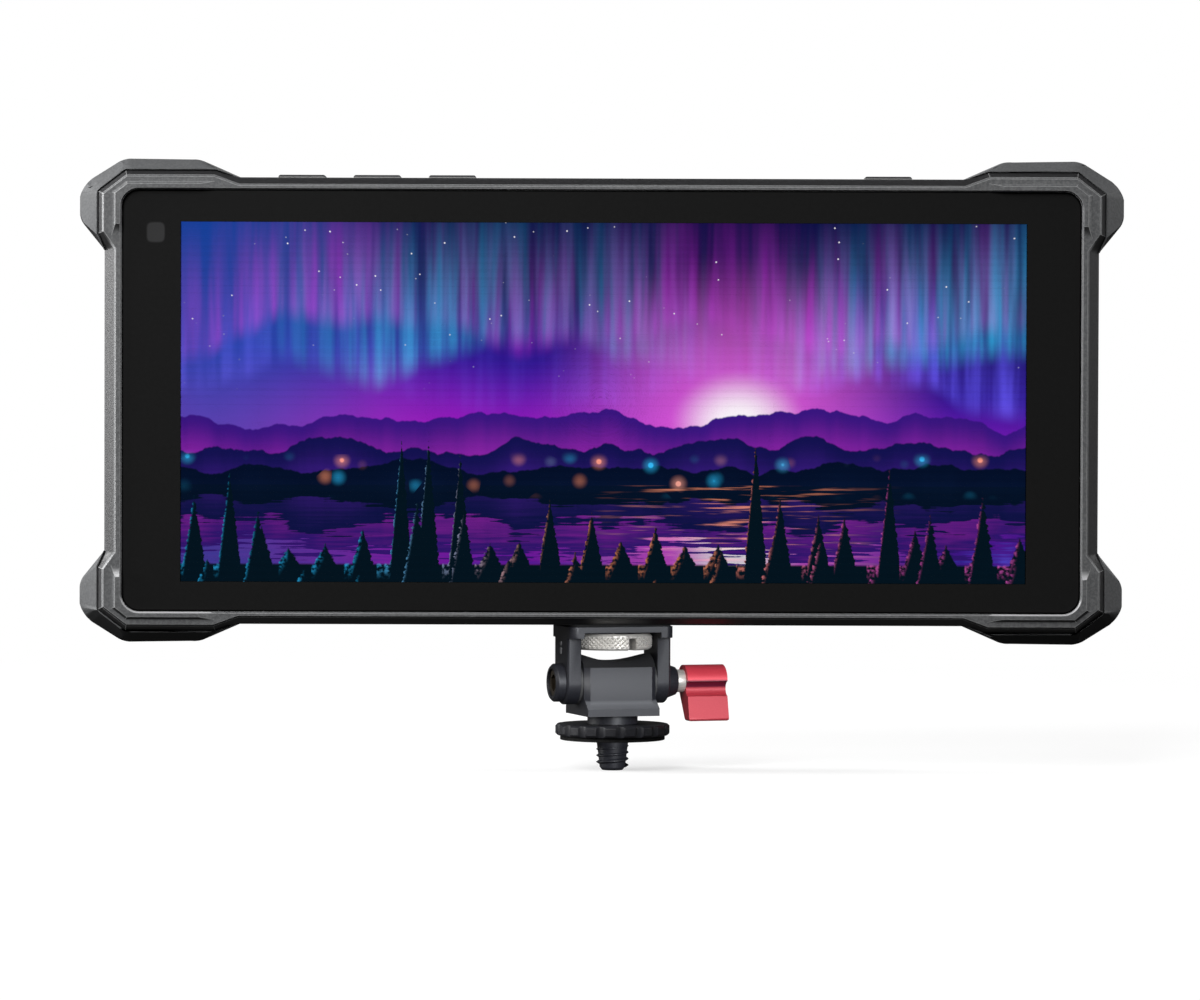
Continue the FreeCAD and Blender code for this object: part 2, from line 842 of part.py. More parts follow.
# Front of the monitor
def front_frame():
    body = new_body()
    lip = ((0, lip_corner(-S.lip_bevel)), (S.lip_bevel, lip_corner(0)), (S.lip_depth, lip_foot(0)))
    loft(body, [(depth, all_round(corner)) for depth, corner in lip])
    ridge_top = ridge_corner(0, 0, 1)
    ridge_foot = ridge_corner(S.ridge_slope_side, S.ridge_slope_top, S.ridge_foot_cut_share)
    loft(body, [(-S.ridge_rise, all_round(ridge_top)), (0, all_round(ridge_foot))])
    for facing, end, ramp, reach in (
        ("top", ridge_end_across, S.ridge_ramp_across, ridge_foot_tall),
        ("side", ridge_end_up, S.ridge_ramp_up, ridge_foot_width),
    ):
        half_gap = [(end, 0), (end + ramp, -S.ridge_rise), (end + ramp, -S.ridge_rise - S.overrun)]
        gap = half_gap + [(-across, depth) for across, depth in reversed(half_gap)]
        if facing == "side":
            gap = [(depth, up) for up, depth in gap]
        Drawing(body, facing, -reach / 2 - S.overrun).polygon(gap).pocket(reach + S.overrun * 2)
    skirt_wide, skirt_tall = shell_inside_width - S.skirt_gap * 2, shell_inside_tall - S.skirt_gap * 2
    skirt = Drawing(body, "front", S.lip_depth)
    skirt.rectangle(0, 0, skirt_wide, skirt_tall)
    skirt.rectangle(0, 0, skirt_wide - S.skirt_thick * 2, skirt_tall - S.skirt_thick * 2)
    skirt.pad(S.skirt_back - S.lip_depth)
    bosses = Drawing(body, "front", S.lip_depth)
    pilots = Drawing(body, "front", S.lip_depth)
    for across, up in FOUR_WAYS:
        bosses.circle(boss_across * across, boss_up * up, S.boss_radius)
        pilots.circle(boss_across * across, boss_up * up, S.case_screw_pilot)
    bosses.pad(S.boss_joint - S.lip_depth)
    pilots.pocket(S.boss_joint - S.lip_depth + S.overrun)
    window_wide, window_tall = glass_width + S.window_gap * 2, glass_tall + S.window_gap * 2
    window = Drawing(body, "front", -S.ridge_rise - S.overrun)
    window.rectangle(0, 0, window_wide, window_tall)
    window.pocket(S.ridge_rise + S.overrun + ledge_front)

    def in_window_corner(edge):
        away = abs(edge.CenterOfMass.x) - as_size(window_wide / 2).number
        return runs_along("Y")(edge) and abs(away) < NEARLY

    round_edges(body, S.glass_corner + S.window_gap, in_window_corner)

    def on_window_wall(spot):
        beside = abs(spot.X) - (window_wide / 2).number
        above = abs(spot.Z) - (window_tall / 2).number
        return min(abs(beside), abs(above)) < NEARLY

    def on_window_rim(edge):
        return edge.BoundBox.YMax < NEARLY and all(map(on_window_wall, edge.Vertexes))

    bevel_edges(body, S.window_bevel, on_window_rim)
    opening = Drawing(body, "front", ledge_front)
    opening.rectangle(0, 0, opening_width, opening_tall)
    opening.pocket(S.skirt_back)
    sensor = Drawing(body, "front", ledge_front)
    sensor.circle(-sensor_across, sensor_up, S.sensor_radius + S.sensor_hole_gap)
    sensor.pocket(S.lip_depth)
    return monitor_piece(body, "front_frame")


def corner_guard(label, right, top):
    straight = (S.shell_width + S.guard_gap * 2, S.shell_tall + S.guard_gap * 2)
    widest = bumped_corner(
        *straight,
        (S.guard_bump_side, S.guard_bump_top),
        (S.guard_cut_across, S.guard_cut_up),
        (S.guard_flat_across, S.guard_flat_up),
        (S.guard_slope_across, S.guard_slope_up),
    )
    widest = turned_corner(widest, S.guard_turn_across, S.guard_turn_up, S.guard_turn_down)
    rim = bumped_corner(
        *straight,
        (S.guard_rim_side, S.guard_rim_top),
        (S.guard_rim_cut_across, S.guard_rim_cut_up),
        (S.guard_rim_flat_across, S.guard_rim_flat_up),
        (S.guard_rim_slope_across, S.guard_rim_slope_up),
    )
    rim = turned_corner(rim, S.guard_rim_turn_across, S.guard_rim_turn_up, S.guard_rim_turn_down)
    inside = [
        (straight[0] / 2, straight[1] / 2 - S.guard_inside_cut),
        (straight[0] / 2 - S.guard_inside_cut, straight[1] / 2),
    ]

    def placed(outline):
        return [(x * right, z * top) for x, z in outline]

    body = new_body()
    levels = (
        (S.guard_front, rim),
        (S.guard_front + S.guard_slope_depth, widest),
        (guard_back - S.guard_slope_depth, widest),
        (guard_back, rim),
    )
    loft(body, [(depth, placed(outline + inside)) for depth, outline in levels])
    seat = Drawing(body, "front", S.guard_front - S.overrun)
    seat.polygon(placed(lip_foot(S.guard_seam)) + [(0, 0)])
    seat.pocket(S.lip_depth + S.guard_seat_gap - S.guard_front + S.overrun)
    return monitor_piece(body, label)


def cover_glass():
    body = new_body()
    sheet_of_glass = Drawing(body, "front", S.glass_recess)
    sheet_of_glass.rectangle(0, 0, glass_width, glass_tall).pad(S.glass_thick)
    round_edges(body, S.glass_corner, runs_along("Y"))
    bevel_edges(body, S.glass_bevel, lies_at("Y", S.glass_recess))
    return monitor_piece(body, "cover_glass")


def glass_gasket():
    outer = (glass_width - S.gasket_inset * 2, glass_tall - S.gasket_inset * 2)
    inner = (opening_width, opening_tall)
    corner_room = S.glass_corner
    ring = frame_of(
        (*outer, glass_back, S.gasket_thick),
        (*inner, glass_back - S.overrun, S.gasket_thick + S.overrun * 2),
    )
    corners = [
        block(
            across * outer[0] / 2 - corner_room / 2,
            glass_back - S.overrun,
            up * outer[1] / 2 - corner_room / 2,
            corner_room,
            S.gasket_thick + S.overrun * 2,
            corner_room,
        )
        for across, up in FOUR_WAYS
    ]
    hole = rod(
        "y",
        -sensor_across,
        glass_back - S.overrun,
        sensor_up,
        S.sensor_radius + S.sensor_hole_gap,
        S.gasket_thick + S.overrun * 2,
    )
    return monitor_piece(cut(ring, *corners, hole), "glass_gasket")


def light_sensor():
    lens = rod("y", -sensor_across, glass_back, sensor_up, S.sensor_radius, S.lip_depth - glass_back)
    foot = block(
        -tray_width / 2 - S.sensor_foot_gap - S.sensor_foot_wide,
        S.lip_depth,
        sensor_up - S.sensor_foot_tall / 2,
        S.sensor_foot_wide,
        S.sensor_foot_thick,
        S.sensor_foot_tall,
    )
    return monitor_piece(fuse(lens, foot), "light_sensor")


def slab(up, wide, tall, front, deep):
    """A plain plate square to the line of sight, centred across."""
    body = new_body()
    Drawing(body, "front", front).rectangle(0, up, wide, tall).pad(deep)
    return body


def lcd_panel():
    panel = slab(0, panel_width, panel_tall, glass_back, S.panel_thick)
    return monitor_piece(panel, "lcd_panel")


def backlight_unit():
    sheets = slab(0, backlight_width, backlight_tall, panel_back, S.backlight_thick)
    return monitor_piece(sheets, "backlight_unit")


def panel_tray():
    inside = (tray_width - S.tray_sheet * 2, tray_tall - S.tray_sheet * 2)
    folded = centred(tray_width, tray_tall, S.lip_depth, tray_back - S.lip_depth)
    room = centred(*inside, S.lip_depth - S.overrun, backlight_back - S.lip_depth + S.overrun)
    ribbon_window = block(
        ribbon_across - S.ribbon_wide / 2 - S.ribbon_window_gap,
        backlight_back - S.overrun,
        ribbon_low - S.ribbon_window_gap,
        S.ribbon_wide + S.ribbon_window_gap * 2,
        S.tray_sheet + S.overrun * 2,
        S.ribbon_window_tall,
    )
    return monitor_piece(cut(folded, room, ribbon_window), "panel_tray")


def panel_ribbon():
    """A flat cable from the back of the backlight, through the tray, to the front of the main board."""
    panel_end, board_end = backlight_back, board_front - S.ribbon_thick
    body = new_body()
    path = [
        (panel_end, ribbon_low),
        (panel_end, ribbon_low + S.ribbon_land),
        (board_end, ribbon_high),
        (board_end, ribbon_high + S.ribbon_land),
    ]
    thick = [(depth + S.ribbon_thick, up) for depth, up in reversed(path)]
    Drawing(body, "side", ribbon_across - S.ribbon_wide / 2).polygon(path + thick).pad(S.ribbon_wide)
    return monitor_piece(body, "panel_ribbon")


# Case back
def hanger_places():
    """Midway between neighbouring buttons, and as far beyond the end ones."""
    half = S.button_pitch / 2
    row = [button_first - half + S.button_pitch * step for step in range(ROW_BUTTONS + 1)]
    return row + [power_across - half, power_across + half]


def rear_shell():
    body = new_body()
    outer = Drawing(body, "front", S.lip_depth)
    outer.rectangle(0, 0, S.shell_width, S.shell_tall).pad(S.shell_back - S.lip_depth)
    round_edges(body, S.shell_corner, runs_along("Y"))
    bevel_edges(body, S.shell_back_bevel, lies_at("Y", S.shell_back))
    bevel_edges(body, S.shell_front_bevel, lies_at("Y", S.lip_depth))
    inside = Drawing(body, "front", S.lip_depth - S.overrun)
    inside.rectangle(0, 0, shell_inside_width, shell_inside_tall)
    inside.pocket(shell_inside_back - S.lip_depth + S.overrun)

    pillars = Drawing(body, "front", S.boss_joint)
    holes = Drawing(body, "front", S.boss_joint - S.overrun)
    wells = Drawing(body, "front", S.shell_back - S.case_screw_sink - S.case_screw_head_thick)
    for across, up in FOUR_WAYS:
        pillars.circle(boss_across * across, boss_up * up, S.boss_radius)
        holes.circle(boss_across * across, boss_up * up, S.case_screw_hole)
        wells.circle(boss_across * across, boss_up * up, S.case_screw_well)
    pillars.pad(shell_inside_back - S.boss_joint)
    holes.pocket(S.shell_back)
    wells.pocket(S.shell_back)

    insert_block = Drawing(body, "top", -shell_inside_tall / 2)
    insert_block.rectangle(S.mount_offset, S.mount_depth, insert_block_wide, insert_block_deep)
    insert_block.pad(S.insert_tall - S.shell_wall)
    insert_hole = Drawing(body, "top", -S.shell_tall / 2 - S.overrun)
    insert_hole.circle(S.mount_offset, S.mount_depth, S.insert_radius + S.insert_seat_gap)
    insert_hole.pocket(S.insert_tall + S.overrun * 2)

    hangers = Drawing(body, "top", button_board_top)
    slots = Drawing(body, "top", shell_inside_tall / 2 - S.overrun)
    for place in hanger_places():
        hangers.rectangle(place, S.button_middle, S.hanger_wide, S.hanger_deep)
    slot_wide, slot_deep = S.button_wide + S.button_gap * 2, S.button_deep + S.button_gap * 2
    for place in button_places:
        slots.rectangle(place, S.button_middle, slot_wide, slot_deep)
    hangers.pad(shell_inside_tall / 2 - button_board_top)
    slots.pocket(S.shell_wall + S.overrun * 2)

    left_sockets = Drawing(body, "side", -S.shell_width / 2 - S.overrun)
    for up, wide, thick in (
        (video_input_up, S.video_wide, S.video_thick),
        (video_output_up, S.video_wide, S.video_thick),
        (data_up, S.data_wide, S.data_thick),
    ):
        middle = board_back + thick / 2
        left_sockets.rectangle(middle, up, thick + S.socket_gap * 2, wide + S.socket_gap * 2)
    left_sockets.pocket(S.shell_wall + S.overrun * 2)
    right_sockets = Drawing(body, "side", shell_inside_width / 2 - S.overrun)
    for up, nose, thick in (
        (S.power_jack_up, S.power_jack_nose, S.power_jack_thick),
        (S.phone_jack_up, S.phone_jack_nose, S.phone_jack_thick),
    ):
        right_sockets.circle(board_back + thick / 2, up, nose + S.socket_gap)
    right_sockets.pocket(S.shell_wall + S.overrun * 2)

    vents = Drawing(body, "front", shell_inside_back - S.overrun)
    for side in (-1, 1):
        for step in range(VENT_COUNT):
            across = (S.vent_start + S.vent_pitch * step) * side
            vents.rectangle(across, 0, S.vent_width, S.vent_tall)
    vents.pocket(S.shell_floor + S.overrun * 2)
    back_holes = Drawing(body, "front", shell_inside_back - S.overrun)
    for step in CONTACT_STEPS:
        back_holes.rectangle(
            S.contact_across * step,
            contact_up,
            S.contact_thick + S.contact_slot_gap * 2,
            S.contact_tall + S.contact_slot_gap * 2,
        )
    for across, up in FOUR_WAYS:
        back_holes.circle(plate_screw_across * across, plate_screw_up * up, S.plate_screw_radius)
    back_holes.pocket(S.shell_floor + S.overrun * 2)
    return monitor_piece(body, "rear_shell")


def screw(across, up, head_back, head, head_thick, shank, tip):
    """A pan screw that points forward, with a hexagon drive in its head."""
    top = rod("y", across, head_back - head_thick, up, head, head_thick)
    stem = rod("y", across, tip, up, shank, head_back - head_thick - tip)
    drive_floor = head_back - S.drive_depth
    drive = hexagon_rod("y", across, drive_floor, up, S.drive_radius, S.drive_depth + S.overrun)
    return cut(fuse(top, stem), drive)


def case_screws():
    head_back = S.shell_back - S.case_screw_sink
    screws = [
        screw(
            boss_across * across,
            boss_up * up,
            head_back,
            S.case_screw_head,
            S.case_screw_head_thick,
            S.case_screw_radius,
            S.case_screw_tip,
        )
        for across, up in FOUR_WAYS
    ]
    return monitor_piece(group(*screws), "case_screws")


def mount_insert():
    foot = -S.shell_tall / 2
    bush = rod("z", S.mount_offset, S.mount_depth, foot, S.insert_radius, S.insert_tall)
    bore = rod(
        "z", S.mount_offset, S.mount_depth, foot - S.overrun, insert_bore, S.insert_tall + S.overrun * 2
    )
    return monitor_piece(cut(bush, bore), "mount_insert")


# Main board
def main_board():
    board = centred(board_width, board_tall, board_front, S.board_thick)
    holes = [
        rod(
            "y",
            post_across * across,
            board_front - S.overrun,
            post_up * up,
            S.board_screw_hole,
            S.board_thick + S.overrun * 2,
        )
        for across, up in FOUR_WAYS
    ]
    return monitor_piece(cut(board, *holes), "main_board")


def board_posts():
    posts = []
    for across, up in FOUR_WAYS:
        post = hexagon_rod(
            "y",
            post_across * across,
            tray_back,
            post_up * up,
            S.post_radius,
            board_front - tray_back,
        )
        thread = rod(
            "y",
            post_across * across,
            board_front - board_screw_bite,
            post_up * up,
            S.board_screw_radius,
            board_screw_bite + S.overrun,
        )
        posts.append(cut(post, thread))
    return monitor_piece(group(*posts), "board_posts")


def board_screws():
    screws = [
        screw(
            post_across * across,
            post_up * up,
            board_back + S.board_screw_head_thick,
            S.board_screw_head,
            S.board_screw_head_thick,
            S.board_screw_radius,
            board_front - board_screw_bite,
        )
        for across, up in FOUR_WAYS
    ]
    return monitor_piece(group(*screws), "board_screws")


def board_chips():
    foot = chip_up - S.chip_tall / 2
    chips = [block(-S.chip_wide / 2, board_back, foot, S.chip_wide, S.chip_thick, S.chip_tall)]
    for side in (-1, 1):
        chips.append(
            block(
                S.memory_across * side - S.memory_wide / 2,
                board_back,
                memory_up - S.memory_tall / 2,
                S.memory_wide,
                S.memory_thick,
                S.memory_tall,
            )
        )
        chips.append(
            block(
                S.coil_across * side - S.coil_wide / 2,
                board_back,
                coil_up - S.coil_wide / 2,
                S.coil_wide,
                S.coil_thick,
                S.coil_wide,
            )
        )
    return monitor_piece(group(*chips), "board_chips")


def thermal_pad():
    wide, tall = S.chip_wide - S.pad_inset * 2, S.chip_tall - S.pad_inset * 2
    return monitor_piece(slab(chip_up, wide, tall, pad_front, S.pad_thick), "thermal_pad")


def heat_sink():
    foot = chip_up - S.sink_tall / 2
    base = block(-S.sink_wide / 2, sink_front, foot, S.sink_wide, S.sink_base, S.sink_tall)
    fin_pitch = (S.sink_wide - S.fin_inset * 2 - S.fin_thick) / (FIN_COUNT - 1)
    fins = [
        block(
            -S.sink_wide / 2 + S.fin_inset + fin_pitch * step,
            sink_front,
            foot,
            S.fin_thick,
            sink_back - sink_front,
            S.sink_tall,
        )
        for step in range(FIN_COUNT)
    ]
    legs = [
        rod(
            "y",
            (S.sink_wide / 2 - S.sink_leg_inset) * across,
            board_back,
            chip_up + (S.sink_tall / 2 - S.sink_leg_inset) * up,
            S.sink_leg_radius,
            sink_front - board_back + S.sink_base,
        )
        for across, up in FOUR_WAYS
    ]
    return monitor_piece(fuse(base, *fins, *legs), "heat_sink")


# Sockets
def tongue_socket(label, up, outside, sheet_thick, cavity, tongue):
    """A plug socket at the left edge of the board: a shell, its cavity and the tongue inside."""
    wide, thick, long = outside
    left = -S.shell_width / 2 + S.socket_nose
    shell = block(left, board_back, up - wide / 2, long, thick, wide)
    room = block(
        left - S.overrun,
        board_back + sheet_thick,
        up - wide / 2 + sheet_thick,
        cavity + S.overrun,
        thick - sheet_thick * 2,
        wide - sheet_thick * 2,
    )
    tongue_wide, tongue_thick, tongue_long = tongue
    blade = block(
        left + cavity - tongue_long,
        board_back + thick / 2 - tongue_thick / 2,
        up - tongue_wide / 2,
        tongue_long + S.overrun,
        tongue_thick,
        tongue_wide,
    )
    return monitor_piece(fuse(cut(shell, room), blade), label)


def video_socket(label, up):
    outside = (S.video_wide, S.video_thick, S.video_long)
    tongue = (S.video_tongue_wide, S.video_tongue_thick, S.video_tongue_long)
    return tongue_socket(label, up, outside, S.video_sheet, S.video_cavity, tongue)


def data_port():
    outside = (S.data_wide, S.data_thick, S.data_long)
    tongue = (S.data_tongue_wide, S.data_tongue_thick, S.data_tongue_long)
    return tongue_socket("data_port", data_up, outside, S.data_sheet, S.data_cavity, tongue)


def round_jack(up, wide, thick, long, nose, bore, depth):
    """A round socket at the right edge of the board, with a nose that fills the hole in the shell."""
    right = S.shell_width / 2 - S.socket_nose
    nose_root = shell_inside_width / 2 - S.socket_gap
    middle = board_back + thick / 2
    housing = block(right - long, board_back, up - wide / 2, nose_root - right + long, thick, wide)
    snout = rod("x", nose_root - S.overrun, middle, up, nose, right - nose_root + S.overrun)
    hole = rod("x", right - depth, middle, up, bore, depth + S.overrun)
    return cut(fuse(housing, snout), hole)


def power_jack():
    jack = round_jack(
        S.power_jack_up,
        S.power_jack_wide,
        S.power_jack_thick,
        S.power_jack_long,
        S.power_jack_nose,
        S.power_jack_bore,
        S.power_jack_depth,
    )
    pin = rod(
        "x",
        S.shell_width / 2 - S.socket_nose - S.power_jack_depth - S.overrun,
        board_back + S.power_jack_thick / 2,
        S.power_jack_up,
        S.power_jack_pin,
        S.power_jack_pin_long + S.overrun,
    )
    return monitor_piece(fuse(jack, pin), "power_jack")


def headphone_jack():
    jack = round_jack(
        S.phone_jack_up,
        S.phone_jack_wide,
        S.phone_jack_thick,
        S.phone_jack_long,
        S.phone_jack_nose,
        S.phone_jack_bore,
        S.phone_jack_depth,
    )
    return monitor_piece(jack, "headphone_jack")


# Top buttons
def top_button(label, across):
    body = new_body()
    top = S.shell_tall / 2 + S.button_rise
    cap = Drawing(body, "top", button_foot)
    cap.rectangle(across, S.button_middle, S.button_wide, S.button_deep).pad(top - button_foot)
    bevel_edges(body, S.button_bevel, lies_at("Z", top))
    flange_top = shell_inside_tall / 2 - S.button_flange_gap
    flange = Drawing(body, "top", flange_top - S.button_flange_thick)
    flange.rectangle(
        across, S.button_middle, S.button_wide + S.button_flange * 2, S.button_deep + S.button_flange * 2
    )
    flange.pad(S.button_flange_thick)
    tip = Drawing(body, "top", button_tip_foot)
    tip.circle(across, S.button_middle, S.button_tip_radius).pad(button_foot - button_tip_foot)
    return monitor_piece(body, label)


def button_board():
    left = button_first - S.button_board_margin - S.button_pitch / 2
    right = power_across + S.button_board_margin + S.button_pitch / 2
    body = new_body()
    strip = Drawing(body, "top", button_board_foot)
    strip.rectangle((left + right) / 2, S.button_middle, right - left, S.button_board_deep)
    strip.pad(S.button_board_thick)
    return monitor_piece(body, "button_board")


def tact_switches():
    switches = []
    for across in button_places:
        case = block(
            across - S.switch_wide / 2,
            S.button_middle - S.switch_deep / 2,
            button_board_top,
            S.switch_wide,
            S.switch_deep,
            S.switch_tall,
        )
        hole = rod(
            "z",
            across,
            S.button_middle,
            switch_hole_floor,
            S.button_tip_radius + S.switch_hole_gap,
            switch_top - switch_hole_floor + S.overrun,
        )
        switches.append(cut(case, hole))
    return monitor_piece(group(*switches), "tact_switches")


# Battery plate
def battery_plate():
    body = new_body()
    plate = Drawing(body, "front", S.shell_back)
    plate.rectangle(0, 0, S.plate_width, S.plate_tall).pad(S.plate_thick)
    round_edges(body, S.plate_corner, runs_along("Y"))
    bevel_edges(body, S.plate_bevel, lies_at("Y", plate_back))
    webs = Drawing(body, "front", plate_back)
    caps = Drawing(body, "front", plate_back + S.rail_rise - S.rail_cap_thick)
    for across, up in FOUR_WAYS:
        cap_across = rail_across + (S.rail_cap_wide - S.rail_wide) / 2
        webs.rectangle(rail_across * across, S.rail_up * up, S.rail_wide, S.rail_long)
        caps.rectangle(cap_across * across, S.rail_up * up, S.rail_cap_wide, S.rail_long)
    webs.pad(S.rail_rise)
    caps.pad(S.rail_cap_thick)
    through = Drawing(body, "front", S.shell_back - S.overrun)
    through.rectangle(
        0, latch_up, S.latch_wide + S.latch_gap * 2, S.latch_tall + S.latch_gap * 2
    )
    through.pocket(S.plate_thick + S.overrun * 2)
    behind = Drawing(body, "front", S.shell_back - S.overrun)
    behind.rectangle(
        0,
        latch_up,
        S.latch_wide + S.latch_ear * 2 + S.latch_gap * 2,
        S.latch_tall + S.latch_gap * 2,
    )
    behind.pocket(S.plate_thick - S.latch_lip + S.overrun)
    slots = Drawing(body, "front", S.shell_back - S.overrun)
    for step in CONTACT_STEPS:
        slots.rectangle(S.contact_across * step, contact_up, S.contact_thick, S.contact_tall)
    for across, up in FOUR_WAYS:
        slots.circle(plate_screw_across * across, plate_screw_up * up, S.plate_screw_radius)
    slots.pocket(S.plate_thick + S.overrun * 2)
    wells = Drawing(body, "front", plate_back - S.plate_screw_sink - S.plate_screw_head_thick)
    for across, up in FOUR_WAYS:
        wells.circle(plate_screw_across * across, plate_screw_up * up, S.plate_screw_head)
    wells.pocket(S.plate_thick)
    return monitor_piece(body, "battery_plate")


def battery_latch():
    body = new_body()
    top = plate_back + S.latch_rise
    key = Drawing(body, "front", latch_front)
    key.rectangle(0, latch_up, S.latch_wide, S.latch_tall).pad(top - latch_front)
    bevel_edges(body, S.latch_bevel, lies_at("Y", top))
    ears = Drawing(body, "front", latch_front)
    ears.rectangle(0, latch_up, S.latch_wide + S.latch_ear * 2, S.latch_tall)
    ears.pad(S.latch_ear_thick)
    return monitor_piece(body, "battery_latch")


def latch_spring():
    """A bowed leaf between the shell's back and the latch, with its two feet on the shell."""
    body = new_body()
    high = latch_front - S.leaf_thick
    half = [(S.leaf_crown, high), (S.leaf_foot_in, S.shell_back), (S.leaf_foot_out, S.shell_back)]
    path = [(-across, depth) for across, depth in reversed(half)] + half
    back = [(across, depth + S.leaf_thick) for across, depth in reversed(path)]
    Drawing(body, "top", latch_up - S.leaf_wide / 2).polygon(path + back).pad(S.leaf_wide)
    return monitor_piece(body, "latch_spring")


def battery_contacts():
    blades = [
        block(
            S.contact_across * step - S.contact_thick / 2,
            board_back,
            contact_up - S.contact_tall / 2,
            S.contact_thick,
            plate_back + S.contact_rise - board_back,
            S.contact_tall,
        )
        for step in CONTACT_STEPS
    ]
    return monitor_piece(group(*blades), "battery_contacts")


def plate_screws():
    screws = [
        screw(
            plate_screw_across * across,
            plate_screw_up * up,
            plate_back - S.plate_screw_sink,
            S.plate_screw_head,
            S.plate_screw_head_thick,
            S.plate_screw_radius,
            shell_inside_back,
        )
        for across, up in FOUR_WAYS
    ]
    return monitor_piece(group(*screws), "plate_screws")


# Tilting mount
def tilt_bracket():
    body = new_body()
    plate = Drawing(body, "top", bracket_foot)
    plate.rectangle(0, 0, ear_outside, S.bracket_deep).pad(S.bracket_plate)
    shoulders = Drawing(body, "top", bracket_top - S.bracket_shoulder)
    for side in (-1, 1):
        shoulders.rectangle((ear_inside + S.ear_thick / 2) * side, 0, S.ear_thick, S.bracket_deep)
    shoulders.pad(S.bracket_shoulder)

    def on_corner(edge):
        return runs_along("Z")(edge) and abs(abs(edge.CenterOfMass.x) - ear_outside.number / 2) < NEARLY

    round_edges(body, S.bracket_corner, on_corner)
    for left in (-ear_outside / 2, ear_inside):
        middle = (hinge_height + bracket_top) / 2
        leg = Drawing(body, "side", left)
        leg.rectangle(0, middle, S.ear_radius * 2, bracket_top - hinge_height)
        leg.pad(S.ear_thick)
        Drawing(body, "side", left).circle(0, hinge_height, S.ear_radius).pad(S.ear_thick)

    def on_ear_outline(edge):
        outside = ear_outside.number / 2
        box = edge.BoundBox
        flat = box.XLength < NEARLY and abs(abs(box.XMin) - outside) < NEARLY
        foot = (bracket_top - S.bracket_shoulder).number
        return flat and box.ZMax < foot + NEARLY and box.ZLength > NEARLY

    bevel_edges(body, S.ear_bevel, on_ear_outline)
    bores = Drawing(body, "side", -ear_outside / 2 - S.overrun)
    bores.circle(0, hinge_height, bolt_hole).pocket(ear_outside + S.overrun * 2)
    neck_hole = Drawing(body, "top", bracket_foot - S.overrun)
    neck_hole.circle(0, 0, S.thumb_neck + S.thumb_neck_gap)
    neck_hole.pocket(S.bracket_plate + S.overrun * 2)
    return mount_piece(body, "tilt_bracket")


def bracket_pad():
    body = new_body()
    wide, deep = ear_outside - S.bracket_pad_inset * 2, S.bracket_deep - S.bracket_pad_inset * 2
    Drawing(body, "top", bracket_top).rectangle(0, 0, wide, deep).pad(S.bracket_pad)
    round_edges(body, S.bracket_corner, runs_along("Z"))
    hole = Drawing(body, "top", bracket_top - S.overrun)
    hole.circle(0, 0, S.clip_radius + S.clip_room).pocket(S.bracket_pad + S.overrun * 2)
    return mount_piece(body, "bracket_pad")


def thumb_screw():
    body = new_body()
    Drawing(body, "top", thumb_foot).circle(0, 0, thumb_radius).pad(S.thumb_thick)
    bevel_edges(body, S.thumb_bevel, either(lies_at("Z", thumb_foot), lies_at("Z", thumb_top)))
    neck = Drawing(body, "top", thumb_top)
    neck.circle(0, 0, S.thumb_neck).pad(shell_foot - thumb_top)
    thread = Drawing(body, "top", shell_foot)
    thread.circle(0, 0, S.thumb_thread).pad(S.thumb_bite)
    slot = Drawing(body, "top", thumb_foot - S.overrun)
    slot.rectangle(0, 0, S.thumb_slot, thumb_radius * 2 + S.overrun * 2)
    slot.pocket(S.thumb_slot_depth + S.overrun)
    return mount_piece(body, "thumb_screw", S.thumb_spin)


def screw_clip():
    foot = bracket_top + (S.bracket_pad - S.clip_thick) / 2
    ring = rod("z", 0, 0, foot, S.clip_radius, S.clip_thick)
    bore = rod(
        "z",
        0,
        0,
        foot - S.overrun,
        S.thumb_neck + S.clip_seat_gap,
        S.clip_thick + S.overrun * 2,
    )
    mouth = block(
        -S.thumb_neck / 2,
        0,
        foot - S.overrun,
        S.thumb_neck,
        S.clip_radius + S.overrun,
        S.clip_thick + S.overrun * 2,
    )
    return mount_piece(cut(ring, bore, mouth), "screw_clip")


def hinge_block():
    body = new_body()
    left = -S.block_width / 2
    flange, barrel = barrel_radius + S.block_flange_out, barrel_radius
    half = [
        (flange, block_foot),
        (flange, flange_top),
        (barrel, ledge_top),
        (barrel, shoulder_top),
    ]
    Drawing(body, "side", left).polygon(half + [(-v, z) for v, z in reversed(half)]).pad(S.block_width)
    Drawing(body, "side", left).circle(0, hinge_height, barrel).pad(S.block_width)

    def on_upright(edge):
        return runs_along("Z")(edge) and abs(abs(edge.CenterOfMass.y) - barrel.number) < NEARLY

    bevel_edges(body, S.block_bevel, on_upright)
    top = hinge_height + barrel
    half_chord = S.block_width / 2 - S.scoop_margin
    scoop_radius = (half_chord * half_chord + S.scoop_depth * S.scoop_depth) / (S.scoop_depth * 2)
    scoop = Drawing(body, "front", -barrel - S.overrun)
    scoop.circle(0, top - S.scoop_depth + scoop_radius, scoop_radius)
    scoop.pocket(barrel * 2 + S.overrun * 2)
    bore = Drawing(body, "side", left - S.overrun)
    bore.circle(0, hinge_height, bolt_hole).pocket(S.block_width + S.overrun * 2)
    seat = Drawing(body, "top", block_foot - S.overrun)
    seat.circle(0, 0, S.spigot_radius + S.spigot_gap)
    seat.pocket(spigot_top - block_foot + S.overrun)
    return mount_piece(body, "hinge_block")


def along_hinge(start, radius, length):
    return rod("x", start, 0, hinge_height, radius, length)


def friction_washer(label, side):
    start = -ear_inside if side < 0 else ear_inside - S.washer_thick
    ring = along_hinge(start, S.ear_radius, S.washer_thick)
    bore = along_hinge(start - S.overrun, bolt_hole, S.washer_thick + S.overrun * 2)
    return mount_piece(cut(ring, bore), label)


